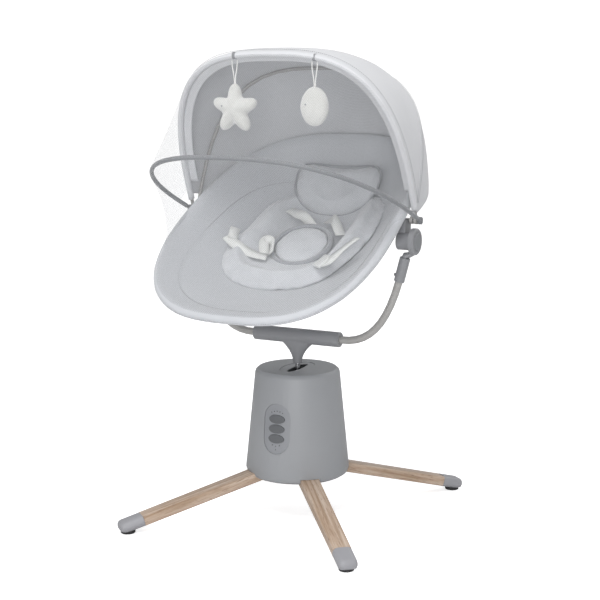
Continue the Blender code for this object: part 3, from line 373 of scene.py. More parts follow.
SHOWN = {
    "housing_plastic": SHELL, "panel_plastic": PANEL, "joint_plastic": JOINT, "button_plastic": KEYS,
    "black_plastic": DARK, "tube_paint": TUBE, "bright_steel": STEEL, "copper_winding": COPPER,
    "clear_acrylic": GLOW, "foot_rubber": RUBBER, "pale_oak": None, "seat_fabric": SEAT_CLOTH,
    "insert_fabric": LINING, "webbing": WEBBING, "netting": NET, "toy_plush": PLUSH,
}
slot_of = {part["node"]: part["material_slot"] for part in frame["record"]["subparts"]}
for name, node in frame["nodes"].items():
    finish = SHOWN[slot_of[name]]
    if name.startswith("leg_"):
        finish = leg_finish[name[4:]]
    if name.startswith("foot_cap_"):
        finish = CAPS
    if name == "net_bow":
        finish = BOW_TUBE
    if name.startswith("hub_button_"):
        finish = HUB_KEY
    if name == "swing_arm":
        finish = DARK
    if name == "slot_bezel":
        finish = SHELL
    node.data.materials.clear()
    node.data.materials.append(finish)
    smooth = node.modifiers.new("smooth", "NODES")
    smooth.node_group = SMOOTH
print(len(frame["nodes"]), "parts finished")

# %% [markdown]
# ## The seat's shape
# The seat is a sling of cloth in a bent tubular rim. Seen square-on the rim is a superellipse, an oval with
# full corners; seen from the side it leans back and curls. The same few numbers place everything that lies
# in the seat, so they come first. Distances along the seat, from foot to head, are called u.

# %% Rim and sling
RIM_FOOT_Y, RIM_FOOT_Z = -0.2785, 0.4323
RIM_LENGTH = 0.6500
RIM_TILT = math.radians(34.66)
RIM_BEND = 0.1857
RIM_HALF_WIDTH = 0.2280
RIM_TAPER = 0.0300
RIM_POWER = 2.83
SLING_DEPTH = 0.1350
SLING_DEEPEST = 0.68
SLING_FOOT_POWER = 1.6
SLING_HEAD_POWER = 4.0
SLING_SIDE_POWER = 2.4


def corner_oval(angle, power):
    """A point of a unit superellipse."""
    c, s = math.cos(angle), math.sin(angle)
    return math.copysign(abs(c) ** (2 / power), c), math.copysign(abs(s) ** (2 / power), s)


def rim_width(u):
    return RIM_HALF_WIDTH - RIM_TAPER * max(u / RIM_LENGTH, 0.0) ** 1.5


def rim_half(u):
    share = min(abs(1 - 2 * u / RIM_LENGTH), 1.0)
    return rim_width(u) * (1 - share**RIM_POWER) ** (1 / RIM_POWER)


def in_rim_plane(x, u):
    y = RIM_FOOT_Y + u * math.cos(RIM_TILT) + AXIS_Y
    return Vector((x, y, RIM_FOOT_Z + u * math.sin(RIM_TILT) - RIM_BEND * u * u))


def rim_place(angle, outward=0.0):
    a, b = corner_oval(angle, RIM_POWER)
    u = RIM_LENGTH / 2 + (RIM_LENGTH / 2 + outward) * b
    return (rim_width(u) + outward) * a, u


def sling_drop(x, u):
    t = min(max(u / RIM_LENGTH, 0.0), 1.0)
    if t < SLING_DEEPEST:
        down = 1 - (1 - t / SLING_DEEPEST) ** SLING_FOOT_POWER
    else:
        down = 1 - ((t - SLING_DEEPEST) / (1 - SLING_DEEPEST)) ** SLING_HEAD_POWER
    across = 1 - min(abs(x) / max(rim_half(u), 1e-6), 1.0) ** SLING_SIDE_POWER
    return SLING_DEPTH * down * across


def on_sling(x, u, lift=0.0):
    """A point on the sling's middle surface, lifted square to it."""
    def at(px, pu):
        return in_rim_plane(px, pu) - Vector((0, 0, sling_drop(px, pu)))

    step = 0.003
    normal = (at(x + step, u) - at(x - step, u)).cross(at(x, u + step) - at(x, u - step)).normalized()
    return at(x, u) + normal * lift


print("the rim is", round(2 * rim_half(RIM_LENGTH / 2), 3), "metres wide at its middle")

# %% [markdown]
# ## Tools for cloth
# Three small tools make most of the soft pieces. `cloth_mesh` skins a grid of points and lays out its UV map
# in metres by walking along the rows. `tube_mesh` sweeps a section along a path, for piping and straps.
# `puff` is the cushion maker: it re-meshes a shape, blows it up with a few frames of cloth simulation and
# caps how far each point may move.


# %% Cloth, tubes and cushions
def finish_mesh(name, shape, material, levels=0, thickness=0.0, offset=0.0):
    bmesh.ops.remove_doubles(shape, verts=shape.verts, dist=1e-6)
    bmesh.ops.recalc_face_normals(shape, faces=shape.faces)
    mesh = bpy.data.meshes.new(name)
    shape.to_mesh(mesh)
    shape.free()
    mesh.materials.append(material)
    mesh.shade_smooth()
    made = link(bpy.data.objects.new(name, mesh))
    if thickness:
        wall = made.modifiers.new("wall", "SOLIDIFY")
        wall.thickness = thickness
        wall.offset = offset
    if levels:
        fine = made.modifiers.new("fine", "SUBSURF")
        fine.levels = levels
        fine.render_levels = levels
    return made


def settle(made):
    """Replace an object's mesh by what its modifiers make of it."""
    graph = bpy.context.evaluated_depsgraph_get()
    mesh = bpy.data.meshes.new_from_object(made.evaluated_get(graph))
    made.modifiers.clear()
    made.data = mesh
    mesh.shade_smooth()
    return made


def cloth_mesh(name, rows, material, closed=False, **extra):
    """Skin rows of points; closed joins each row's end to its start."""
    shape = bmesh.new()
    verts = [[shape.verts.new(p) for p in row] for row in rows]
    layer = shape.loops.layers.uv.new("cloth")
    count = len(rows[0])
    run_u = [[0.0] for _ in rows]
    for i, row in enumerate(rows):
        for j in range(count):
            run_u[i].append(run_u[i][-1] + (Vector(row[(j + 1) % count]) - Vector(row[j])).length)
    middle = count // 2
    run_v = [0.0]
    for a, b in zip(rows, rows[1:]):
        run_v.append(run_v[-1] + (Vector(b[middle]) - Vector(a[middle])).length)
    for i in range(len(rows) - 1):
        for j in range(count if closed else count - 1):
            k = (j + 1) % count
            face = shape.faces.new((verts[i][j], verts[i][k], verts[i + 1][k], verts[i + 1][j]))
            places = ((i, j), (i, j + 1), (i + 1, j + 1), (i + 1, j))
            for loop, (a, b) in zip(face.loops, places):
                loop[layer].uv = (run_u[a][b] - run_u[a][middle], run_v[a])
    return finish_mesh(name, shape, material, **extra)


def ring_section(radius_a, radius_b=None, sides=12):
    radius_b = radius_a if radius_b is None else radius_b
    turns = [2 * math.pi * k / sides for k in range(sides)]
    return [(radius_a * math.cos(t), radius_b * math.sin(t)) for t in turns]


def tube_mesh(name, path, section, material, ups, closed=False, levels=0, sizes=None):
    """Sweep a closed section of (side, up) points along a path; ups is one vector or one per point."""
    path = [Vector(p) for p in path]
    count = len(path)
    ups = [Vector(u) for u in ups] if isinstance(ups[0], (tuple, list, Vector)) else [Vector(ups)] * count
    shape = bmesh.new()
    layer = shape.loops.layers.uv.new("cloth")
    rings = []
    run = [0.0]
    for i, at in enumerate(path):
        before = path[i - 1] if closed or i else path[0]
        after = path[(i + 1) % count] if closed or i < count - 1 else path[-1]
        along = (after - before).normalized()
        side = along.cross(ups[i]).normalized()
        rise = side.cross(along)
        size = sizes[i] if sizes else 1.0
        rings.append([shape.verts.new(at + side * a * size + rise * b * size) for a, b in section])
        run.append(run[-1] + (path[(i + 1) % count] - at).length)
    around = [0.0]
    for k in range(len(section)):
        a, b = section[k], section[(k + 1) % len(section)]
        around.append(around[-1] + math.dist(a, b))
    for i in range(count if closed else count - 1):
        here, there = rings[i], rings[(i + 1) % count]
        for k in range(len(section)):
            n = (k + 1) % len(section)
            face = shape.faces.new((here[k], here[n], there[n], there[k]))
            for loop, uv in zip(face.loops, ((k, i), (k + 1, i), (k + 1, i + 1), (k, i + 1))):
                loop[layer].uv = (around[uv[0]], run[uv[1]])
    if not closed:
        shape.faces.new(rings[0])
        shape.faces.new(rings[-1])
    return finish_mesh(name, shape, material, levels=levels)


def puff(piece, voxel, cap, pressure=4.0, frames=20):
    """Re-mesh a closed shape and inflate it like a stuffed cushion."""
    remesh = piece.modifiers.new("remesh", "REMESH")
    remesh.mode = "VOXEL"
    remesh.voxel_size = voxel
    settle(piece)
    rest = [v.co.copy() for v in piece.data.vertices]
    cloth = piece.modifiers.new("cloth", "CLOTH")
    cloth.settings.use_pressure = True
    cloth.settings.uniform_pressure_force = pressure
    cloth.settings.effector_weights.gravity = 0
    cloth.point_cache.frame_end = frames
    for step in range(1, frames + 1):
        scene.frame_set(step)
    settle(piece)
    for vert, start in zip(piece.data.vertices, rest):
        move = vert.co - start
        if move.length > cap:
            vert.co = start + move.normalized() * cap
    scene.frame_set(1)
    return piece


def smoothed(piece, levels=1):
    fine = piece.modifiers.new("fine", "SUBSURF")
    fine.levels = levels
    fine.render_levels = levels
    return settle(piece)


print("tools ready")

# %% [markdown]
# ## The seat cover
# The cover is one padded skin. It lies on the sling, wraps over the rim's tube and comes back underneath, so
# the tube shows only as a soft round edge. Each ring of the grid is one section through it, from the middle
# outwards over the top, round the tube and back under. Two seams cross the foot end, where the side wings
# are sewn to the foot panel, and the cloth draws in along them.

# %% Seat cover
COVER_HALF = 0.0045
WRAP_RADIUS = 0.0092
COLUMNS = 180
TOP_ROWS = 60
WRAP_ROWS = 9
SEAM_TURN = 0.262
BORDER_SHARE = 0.86


def seam_dip(x, u, share):
    """How far the cloth draws in at the wing seams and at the seam inside the border."""
    off_line = (u - SEAM_TURN + 2.0 * (abs(x) - 0.160)) / math.sqrt(5)
    wing = math.exp(-((off_line / 0.004) ** 2)) * min(max((abs(x) - 0.135) / 0.02, 0.0), 1.0)
    border = math.exp(-(((share - BORDER_SHARE) / 0.018) ** 2))
    return 0.0018 * max(wing, border)


def cloth_ripple(x, u):
    """Slow unevenness of hand-sewn cloth."""
    slow = noise.noise(Vector((x * 9, u * 9, 1.7)))
    quick = noise.noise(Vector((x * 26, u * 15, 4.1)))
    return 0.0022 * slow + 0.0009 * quick


def cover_section(angle):
    edge_x, edge_u = rim_place(angle)
    centre = in_rim_plane(edge_x, edge_u)
    inner = 0.0060
    points = []
    for i in range(TOP_ROWS + 1):
        share = 0.02 + 0.98 * i / TOP_ROWS
        fade = (1 - share**6)
        x = share * (edge_x - inner * math.cos(angle))
        u = RIM_LENGTH / 2 + share * (edge_u - RIM_LENGTH / 2 - inner * math.sin(angle))
        lift = COVER_HALF + (cloth_ripple(x, u) - seam_dip(x, u, share)) * fade + 0.004 * share**8
        points.append(on_sling(x, u, lift))
    out = (centre - in_rim_plane(0, RIM_LENGTH / 2)).normalized()
    up = Vector((0, -math.sin(RIM_TILT), math.cos(RIM_TILT)))
    for i in range(WRAP_ROWS):
        turn = math.radians(105 - 215 * i / (WRAP_ROWS - 1))
        swell = WRAP_RADIUS + 0.0006 * noise.noise(Vector((angle * 6, turn, 2.0)))
        points.append(centre + (out * math.cos(turn) + up * math.sin(turn)) * swell)
    for i in range(TOP_ROWS, -1, -4):
        share = 0.02 + 0.98 * i / TOP_ROWS
        x = share * (edge_x - inner * math.cos(angle))
        u = RIM_LENGTH / 2 + share * (edge_u - RIM_LENGTH / 2 - inner * math.sin(angle))
        points.append(on_sling(x, u, -COVER_HALF))
    return points


sections = [cover_section(2 * math.pi * k / COLUMNS) for k in range(COLUMNS + 1)]
seat_cover = cloth_mesh("seat_cover_cloth", [list(row) for row in zip(*sections)], SEAT_CLOTH)
shape = bmesh.new()
shape.from_mesh(seat_cover.data)
bmesh.ops.holes_fill(shape, edges=[e for e in shape.edges if e.is_boundary])
bmesh.ops.recalc_face_normals(shape, faces=shape.faces)
shape.to_mesh(seat_cover.data)
shape.free()
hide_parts("seat_sling")
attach(seat_cover, "seat")
print("the seat cover has", len(seat_cover.data.polygons), "faces")

# %% [markdown]
# ## The newborn insert
# A second cushion lies in the seat to narrow it for a small baby. It is thick at its front lip and along both
# sides, and thin in the middle. We model it as a lens with raised borders, a little too thin, and let the
# simulation blow it up.

# %% Newborn insert
INSERT_U = 0.3950
INSERT_HALF_X = 0.1450
INSERT_HALF_U = 0.2050


def cushion(name, place, low, high, rings, segments, material):
    """A closed cushion on the sling: place gives (x, u) from an angle and a share, low and high its faces."""
    shape = bmesh.new()
    layers = []
    for lift in (low, high):
        layer = [[shape.verts.new(on_sling(*place(0.0, 0.0), lift(*place(0.0, 0.0), 0.0)))]]
        for i in range(1, rings + 1):
            ring = []
            for j in range(segments):
                x, u = place(2 * math.pi * j / segments, i / rings)
                ring.append(shape.verts.new(on_sling(x, u, lift(x, u, i / rings))))
            layer.append(ring)
        layers.append(layer)
    for layer in layers:
        for j in range(segments):
            k = (j + 1) % segments
            shape.faces.new((layer[0][0], layer[1][j], layer[1][k]))
            for inner, outer in zip(layer[1:], layer[2:]):
                shape.faces.new((inner[j], outer[j], outer[k], inner[k]))
    for j in range(segments):
        k = (j + 1) % segments
        shape.faces.new((layers[0][-1][j], layers[0][-1][k], layers[1][-1][k], layers[1][-1][j]))
    return finish_mesh(name, shape, material)


def insert_place(angle, share):
    a, b = corner_oval(angle, 2.7)
    u = INSERT_U + share * INSERT_HALF_U * b
    slip = -0.11 * max(0.40 - u, 0.0)
    return share * INSERT_HALF_X * a + slip, u


def bump(value, middle, width):
    return math.exp(-(((value - middle) / width) ** 2))


def insert_top(x, u, share):
    """The cushion's height: a thin middle, thick side wings, a thick front lip and two quilting lines."""
    body = 0.0110 * (1 - share**10) ** 0.5
    wings = 0.0210 * bump(abs(x), 0.112, 0.026) * bump(u, 0.42, 0.12) * (1 - share**12)
    front = 0.0170 * bump(share, 0.84, 0.13) * max(0.0, -(u - INSERT_U) / INSERT_HALF_U) ** 0.5
    quilting = 0.0035 * bump(abs(x), 0.074, 0.004) * (1 if share < 0.8 else 0)
    crease = 0.0030 * bump(u, 0.300, 0.004) * (1 if abs(x) > 0.05 else 0)
    return COVER_HALF + 0.0030 + body + wings + front - quilting - crease


insert = cushion("insert_cushion", insert_place, lambda x, u, s: COVER_HALF + 0.0015, insert_top, 26, 96,
                 LINING)
puff(insert, 0.0055, 0.006)
smoothed(insert)
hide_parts("newborn_insert")
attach(insert, "seat")
print("the insert has", len(insert.data.polygons), "faces")

# %% [markdown]
# ## The head pillow and the crotch pad
# Both are small stuffed ovals with a piped edge: two faces sewn together round a cord. The pillow dips in the
# middle to hold a head. The piping is its own tube, swept round the seam after the cushion is blown up.

# %% Head pillow
PILLOW_U = 0.5800
PILLOW_HALF_X = 0.1020
PILLOW_HALF_U = 0.0440
PILLOW_BASE = 0.0200


def pillow_place(angle, share):
    a, b = corner_oval(angle, 2.6)
    return share * PILLOW_HALF_X * a, PILLOW_U + share * PILLOW_HALF_U * b


def pillow_top(x, u, share):
    hollow = 0.0080 * math.exp(-((x / 0.035) ** 2) - (((u - PILLOW_U) / 0.03) ** 2))
    return PILLOW_BASE + 0.0050 + 0.0200 * (1 - share**3) ** 0.5 - hollow


pillow = cushion("pillow_cushion", pillow_place, lambda x, u, s: PILLOW_BASE, pillow_top, 14, 60, LINING)
puff(pillow, 0.0045, 0.006)
smoothed(pillow)
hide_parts("head_pillow")
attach(pillow, "seat")
edge = [on_sling(*pillow_place(2 * math.pi * k / 90, 1.01), PILLOW_BASE + 0.0035) for k in range(90)]
pillow_piping = tube_mesh("pillow_piping", edge, ring_section(0.0018), PIPING, (0, 0, 1), closed=True)
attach(pillow_piping, "seat")

# %% Crotch pad
pad_low, pad_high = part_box("crotch_pad")
PAD_CENTRE = (pad_low + pad_high) / 2 + Vector((0, -0.002, -0.005))
PAD_RADIUS = (pad_high.x - pad_low.x) / 2
PAD_TILT = math.radians(32)
PAD_HALF = 0.0080
pad_matrix = Matrix.Translation(PAD_CENTRE) @ Matrix.Rotation(PAD_TILT, 4, "X")


def round_cushion(name, outline, half, material, matrix, rings=14, power=2.2):
    """A closed lens over an outline function that gives a radius for an angle."""
    shape = bmesh.new()
    layers = []
    segments = 72
    for side in (-1, 1):
        layer = [[shape.verts.new((0, 0, side * half))]]
        for i in range(1, rings + 1):
            share = i / rings
            ring = []
            for j in range(segments):
                angle = 2 * math.pi * j / segments
                radius = outline(angle) * share
                height = side * half * max(1 - share**power, 0.0) ** 0.5
                ring.append(shape.verts.new((radius * math.cos(angle), radius * math.sin(angle), height)))
            layer.append(ring)
        layers.append(layer)
    for layer in layers:
        for j in range(segments):
            k = (j + 1) % segments
            shape.faces.new((layer[0][0], layer[1][j], layer[1][k]))
            for inner, outer in zip(layer[1:], layer[2:]):
                shape.faces.new((inner[j], outer[j], outer[k], inner[k]))
    bmesh.ops.transform(shape, matrix=matrix, verts=shape.verts)
    return finish_mesh(name, shape, material)


crotch_pad = round_cushion("crotch_cushion", lambda t: PAD_RADIUS * 1.04, PAD_HALF, LINING, pad_matrix)
puff(crotch_pad, 0.0040, 0.002)
smoothed(crotch_pad)
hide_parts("crotch_pad")
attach(crotch_pad, "seat")
turns = [2 * math.pi * k / 90 for k in range(90)]
rim_path = [pad_matrix @ Vector((PAD_RADIUS * 1.09 * math.cos(t), PAD_RADIUS * 1.09 * math.sin(t), 0))
            for t in turns]
border = tube_mesh("crotch_border", rim_path, ring_section(0.0045, 0.0060), PIPING,
                   pad_matrix.to_3x3().col[2], closed=True)
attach(border, "seat")
print("pads sewn")

# %% [markdown]
# ## The harness
# The harness is flat satin webbing 20 mm wide. Two waist straps come in from the sides, two shoulder straps
# come down from behind the pillow and loop back on themselves, and a buckle waits at the right. Webbing is
# stiff across and limp along, so each strap is a ribbon swept along a path given point by point.


# %% Straps and buckle
def curve_through(points, count):
    """A smooth path through a few points (Catmull-Rom)."""
    points = [Vector(p) for p in points]
    padded = [2 * points[0] - points[1]] + points + [2 * points[-1] - points[-2]]
    made = []
    for i in range(count):
        place = (len(points) - 1) * i / (count - 1)
        k = min(int(place), len(points) - 2)
        t = place - k
        a, b, c, d = padded[k : k + 4]
        made.append(0.5 * (2 * b + (c - a) * t + (2 * a - 5 * b + 4 * c - d) * t * t
                           + (3 * b - a - 3 * c + d) * t**3))
    return made


STRAP_HALF = 0.0100
STRAP_THICK = 0.0007
strap_section = [(-STRAP_HALF, -STRAP_THICK), (0, -STRAP_THICK * 1.3), (STRAP_HALF, -STRAP_THICK),
                 (STRAP_HALF, STRAP_THICK), (0, STRAP_THICK * 1.3), (-STRAP_HALF, STRAP_THICK)]


def strap(name, points, ups, replaces=()):
    path = curve_through(points, 40)
    normals = curve_through(ups, 40)
    made = tube_mesh(name, path, strap_section, WEBBING, normals)
    if replaces:
        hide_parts(*replaces)
    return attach(made, "seat")


S = on_sling
strap("waist_strap_left",
      [S(-0.152, 0.300, 0.034), S(-0.124, 0.288, 0.040), S(-0.092, 0.292, 0.036), S(-0.054, 0.305, 0.032)],
      [(0.3, -0.6, 0.8), (0.2, -0.8, 0.6), (0.0, -0.6, 0.8), (-0.1, -0.4, 0.9)], ["harness_left"])
strap("waist_tail_left",
      [S(-0.150, 0.336, 0.038), S(-0.146, 0.318, 0.042), S(-0.140, 0.300, 0.041)],
      [(0.5, -0.5, 0.7), (0.6, -0.6, 0.6), (0.4, -0.6, 0.7)])
strap("waist_strap_right",
      [S(0.168, 0.300, 0.036), S(0.147, 0.272, 0.040), S(0.122, 0.250, 0.036), S(0.092, 0.262, 0.032)],
      [(-0.4, -0.4, 0.9), (-0.5, -0.6, 0.7), (-0.2, -0.7, 0.8), (0.1, -0.5, 0.9)], ["harness_right"])
strap("shoulder_strap_left",
      [S(-0.090, 0.500, 0.036), S(-0.062, 0.484, 0.050), S(-0.032, 0.474, 0.054), S(0.000, 0.452, 0.040)],
      [(0.1, -0.5, 0.9), (0.4, -0.8, 0.5), (-0.4, -0.7, 0.6), (-0.5, -0.5, 0.8)])
strap("shoulder_strap_right",
      [S(0.012, 0.497, 0.036), S(0.038, 0.478, 0.050), S(0.062, 0.452, 0.054), S(0.088, 0.405, 0.040)],
      [(0.1, -0.5, 0.9), (-0.4, -0.8, 0.5), (0.3, -0.8, 0.6), (0.4, -0.5, 0.8)])
strap("buckle_loop_left",
      [S(-0.066, 0.316, 0.034), S(-0.082, 0.345, 0.044), S(-0.066, 0.352, 0.046), S(-0.052, 0.318, 0.036)],
      [(0.6, -0.6, 0.5), (0.2, -0.9, 0.3), (-0.5, -0.8, 0.3), (-0.6, -0.6, 0.5)])

# %% [markdown]
# The buckle at the right is a flat satin-white moulding. It is a rounded plate with its two prongs, made as
# one small box with soft edges.

# %% Buckle
buckle_shape = bmesh.new()
bmesh.ops.create_cube(buckle_shape, size=1.0)
bmesh.ops.scale(buckle_shape, verts=buckle_shape.verts, vec=(0.026, 0.034, 0.007))
bmesh.ops.bevel(buckle_shape, geom=buckle_shape.edges[:], offset=0.0025, segments=3, affect="EDGES",
                profile=0.5)
buckle_turn = Matrix.Rotation(math.radians(-38), 4, "Z") @ Matrix.Rotation(math.radians(34), 4, "X")
bmesh.ops.transform(buckle_shape, matrix=Matrix.Translation(S(0.100, 0.262, 0.037)) @ buckle_turn,
                    verts=buckle_shape.verts)
buckle = finish_mesh("harness_buckle", buckle_shape, BUCKLE)
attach(buckle, "seat")
print("harness laid")

# %% [markdown]
# ## The canopy
# The canopy is one long piece of cloth stretched over two hoops, from the padded front edge back to the rim
# behind the baby's head. A hoop is half a superellipse, turned about the hinge. To skin it we step the
# turn from front to back, and between hoops the cloth sags inwards a little, as stretched cloth does.

# %% Hoops
PIVOT_Y = 0.0150 + AXIS_Y
PIVOT_Z = 0.5900
FRONT_HOOP = (0.2390, 0.3310, 3.00, -22.6)
MID_HOOP = (0.2305, 0.2970, 3.10, 21.3)
REAR_EDGE = (0.2255, 0.2900, 2.45, 76.0)
NET_BOW = (0.2470, 0.3344, 2.55, -67.3)


def hoop_point(hoop, turn, outward=0.0):
    half, radius, power, lean = hoop
    a, b = corner_oval(turn, power)
    reach = (radius + outward) * b
    lean = math.radians(lean)
    return Vector(((half + outward) * a, PIVOT_Y + reach * math.sin(lean), PIVOT_Z + reach * math.cos(lean)))


def even_turns(hoop, reach_from, count):
    """Turns that space points evenly round a hoop, starting this far from the hinge."""
    first = math.asin((reach_from / hoop[1]) ** (hoop[2] / 2))
    fine = [first + (math.pi - 2 * first) * i / 600 for i in range(601)]
    run = [0.0]
    for a, b in zip(fine, fine[1:]):
        run.append(run[-1] + (hoop_point(hoop, b) - hoop_point(hoop, a)).length)
    turns, at = [], 0
    for i in range(count):
        want = run[-1] * i / (count - 1)
        while at < 599 and run[at + 1] < want:
            at += 1
        turns.append(fine[at] + (fine[at + 1] - fine[at]) * (want - run[at]) / (run[at + 1] - run[at]))
    return turns


def between(first, last, share, sag=0.0):
    """A hoop part of the way from one to the next, pulled in by sag at the middle."""
    pull = sag * math.sin(math.pi * share)
    made = [a + (b - a) * share for a, b in zip(first, last)]
    return (made[0] - pull * 0.3, made[1] - pull, made[2], made[3])


def grown(hoop, by):
    return (hoop[0] + by, hoop[1] + by, hoop[2], hoop[3])


def fold_shares(piece, share_of):
    """Work out from its angle about the hinge how far each point of a piece would follow the fold; the shares
    are not kept.
    """
    for vert in piece.data.vertices:
        lean = math.degrees(math.atan2(vert.co.y - PIVOT_Y, vert.co.z - PIVOT_Z))
        share_of(lean)


couplings = frame["record"]["behaviour"]["couplings"]
RATIO = {c["joint"]: c["ratio"] for c in couplings}
MID_SHARE = RATIO["canopy_mid_fold"]
BOW_SHARE = RATIO["net_fold"]


def canopy_share(lean):
    """1 at the front hoop, the middle hoop's ratio at that hoop, and 0 where the cloth joins the rim."""
    front, mid, rear = FRONT_HOOP[3], MID_HOOP[3], REAR_EDGE[3]
    if lean <= mid:
        return MID_SHARE + (1 - MID_SHARE) * min((mid - lean) / (mid - front), 1.0)
    return MID_SHARE * max((rear - lean) / (rear - mid), 0.0)


# %% Canopy cloth
CLOTH_OUT = 0.0046
CANOPY_COLUMNS = 150
front_out = grown(FRONT_HOOP, CLOTH_OUT)
mid_out = grown(MID_HOOP, CLOTH_OUT)
rear_out = REAR_EDGE
front_turns = even_turns(FRONT_HOOP, 0.030, CANOPY_COLUMNS)
mid_turns = even_turns(MID_HOOP, 0.030, CANOPY_COLUMNS)


def canopy_row(first, last, share, sag, first_turns, last_turns):
    hoop = between(first, last, share, sag)
    row = []
    for a, b in zip(first_turns, last_turns):
        turn = a + (b - a) * share
        ripple = 0.0012 * noise.noise(Vector((turn * 5, hoop[3] * 0.06, 3.0)))
        row.append(hoop_point(hoop, turn, ripple * math.sin(math.pi * share)))
    return row


rows = [canopy_row(front_out, mid_out, i / 22, 0.0060, front_turns, mid_turns) for i in range(23)]
rows += [canopy_row(mid_out, rear_out, i / 26, 0.0070, mid_turns, mid_turns) for i in range(1, 27)]
canopy = cloth_mesh("canopy_cloth", rows, CANOPY_CLOTH, thickness=0.0012, offset=0.0)
settle(canopy)
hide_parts("canopy_front_panel", "canopy_rear_panel")
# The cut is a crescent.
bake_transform(canopy)
fold_shares(canopy, canopy_share)

# %% [markdown]
# The front edge of the canopy is a padded sleeve round the hoop, with a narrower band sewn inside it. The
# sleeve is a tube swept along the hoop. The seam over the middle hoop is a flat tape.

# %% Canopy binding
binding_turns = even_turns(FRONT_HOOP, 0.022, 160)
binding_path = [hoop_point(FRONT_HOOP, t) for t in binding_turns]
lean = math.radians(FRONT_HOOP[3])
hoop_normal = Vector((0, math.cos(lean), -math.sin(lean)))
binding_sizes = [1 + 0.05 * noise.noise(Vector((k * 0.35, 0, 5))) for k in range(160)]
binding = tube_mesh("canopy_binding", binding_path, ring_section(0.0058, 0.0066, 18), CANOPY_CLOTH,
                    hoop_normal, sizes=binding_sizes)
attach(binding, "canopy_front")

band_rows = []
for i in range(7):
    out = -0.0050 - 0.0022 * i
    band_rows.append([hoop_point(grown(FRONT_HOOP, out), t) + hoop_normal * (0.003 + 0.0011 * i)
                      for t in even_turns(FRONT_HOOP, 0.060, 140)])
band = cloth_mesh("canopy_inner_band", band_rows, CANOPY_CLOTH, thickness=0.0016)
settle(band)
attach(band, "canopy_front")

tape_path = [hoop_point(grown(MID_HOOP, CLOTH_OUT + 0.0008), t) for t in even_turns(MID_HOOP, 0.035, 140)]
tape_up = [(p - Vector((0, PIVOT_Y, PIVOT_Z))).normalized() for p in tape_path]
tape = tube_mesh("canopy_seam_tape", tape_path, ring_section(0.0050, 0.0007, 10), CANOPY_CLOTH, tape_up)
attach(tape, "canopy_mid")
print("canopy made")

# %% [markdown]
# ## The net and its bow
# A sheer net hangs from the canopy's front edge, over a thin bow, and down to the rim at the foot end. It is
# two stretches of one cloth. The bow wears a narrow woven sleeve.

# %% Net
NET_COLUMNS = 140
net_front = even_turns(FRONT_HOOP, 0.040, NET_COLUMNS)
net_bow_turns = even_turns(NET_BOW, 0.040, NET_COLUMNS)
rim_fine = []
for i in range(401):
    x, u = rim_place(math.radians(-6 - 168 * i / 400), 0.0100)
    rim_fine.append(in_rim_plane(x, u))
run = [0.0]
for a, b in zip(rim_fine, rim_fine[1:]):
    run.append(run[-1] + (b - a).length)


def along_rim(share):
    want = run[-1] * share
    k = next(i for i in range(400) if run[i + 1] >= want or i == 399)
    return rim_fine[k].lerp(rim_fine[k + 1], (want - run[k]) / (run[k + 1] - run[k]))


net_rows = []
for i in range(15):
    share = i / 14
    row = []
    for a, b in zip(net_front, net_bow_turns):
        top = hoop_point(FRONT_HOOP, a, 0.0050)
        low = hoop_point(NET_BOW, b, 0.0042)
        dip = Vector((0, 0, -0.006 * math.sin(math.pi * share) * math.sin(a)))
        row.append(top.lerp(low, share) + dip)
    net_rows.append(row)
for i in range(1, 13):
    share = i / 12
    row = []
    for k, b in enumerate(net_bow_turns):
        top = hoop_point(NET_BOW, b, 0.0042)
        low = along_rim(k / (NET_COLUMNS - 1))
        pull = Vector((-low.x * 0.10, 0.022, 0)) * math.sin(math.pi * share)
        row.append(top.lerp(low, share) + pull)
    net_rows.append(row)
net = cloth_mesh("insect_net_cloth", net_rows, NET, thickness=0.0004)
settle(net)
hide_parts("insect_net")
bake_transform(net)


def net_share(lean):
    """1 at the canopy's edge, the bow's ratio at the bow, and further still at the hem."""
    front, bow = FRONT_HOOP[3], NET_BOW[3]
    if lean > 90:
        lean -= 360
    return 1 + (BOW_SHARE - 1) * max((front - lean) / (front - bow), 0.0)


fold_shares(net, net_share)
bow_path = [hoop_point(NET_BOW, t) for t in even_turns(NET_BOW, 0.016, 160)]
bow_lean = math.radians(NET_BOW[3])
bow_sleeve = tube_mesh("bow_sleeve", bow_path, ring_section(0.0039, 0.0044, 14), BOW_TRIM,
                       (0, math.cos(bow_lean), -math.sin(bow_lean)))
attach(bow_sleeve, "net")
print("net hung")

# %% [markdown]
# ## The hanging toys
# Two plush toys hang from the canopy's front edge: a plump five-pointed star and a drop. Each is a flat
# outline blown up into a cushion, on a white cord that is tied through the ring on the hoop.

# %% Toys
STAR_TIP, STAR_WAIST = 0.0490, 0.0275
star_low, star_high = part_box("star_toy")
drop_low, drop_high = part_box("drop_toy")
STAR_CENTRE = Vector(((star_low.x + star_high.x) / 2, (star_low.y + star_high.y) / 2, 0.7946))
DROP_CENTRE = Vector(((drop_low.x + drop_high.x) / 2, (drop_low.y + drop_high.y) / 2, 0.8019))
upright = Matrix.Rotation(math.pi / 2, 4, "X")


def star_outline(angle):
    """Five fat arms: the radius eases from a round tip down to the waist and back."""
    step = 2 * math.pi / 5
    place = (angle - math.pi / 2) % step
    return STAR_TIP - (STAR_TIP - STAR_WAIST) * math.sin(math.pi * place / step) ** 2


star = round_cushion("star_cushion", star_outline, 0.0150, PLUSH, Matrix.Translation(STAR_CENTRE) @ upright)
puff(star, 0.0030, 0.004, pressure=5.0)
smoothed(star)
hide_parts("star_toy")
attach(star, "star")


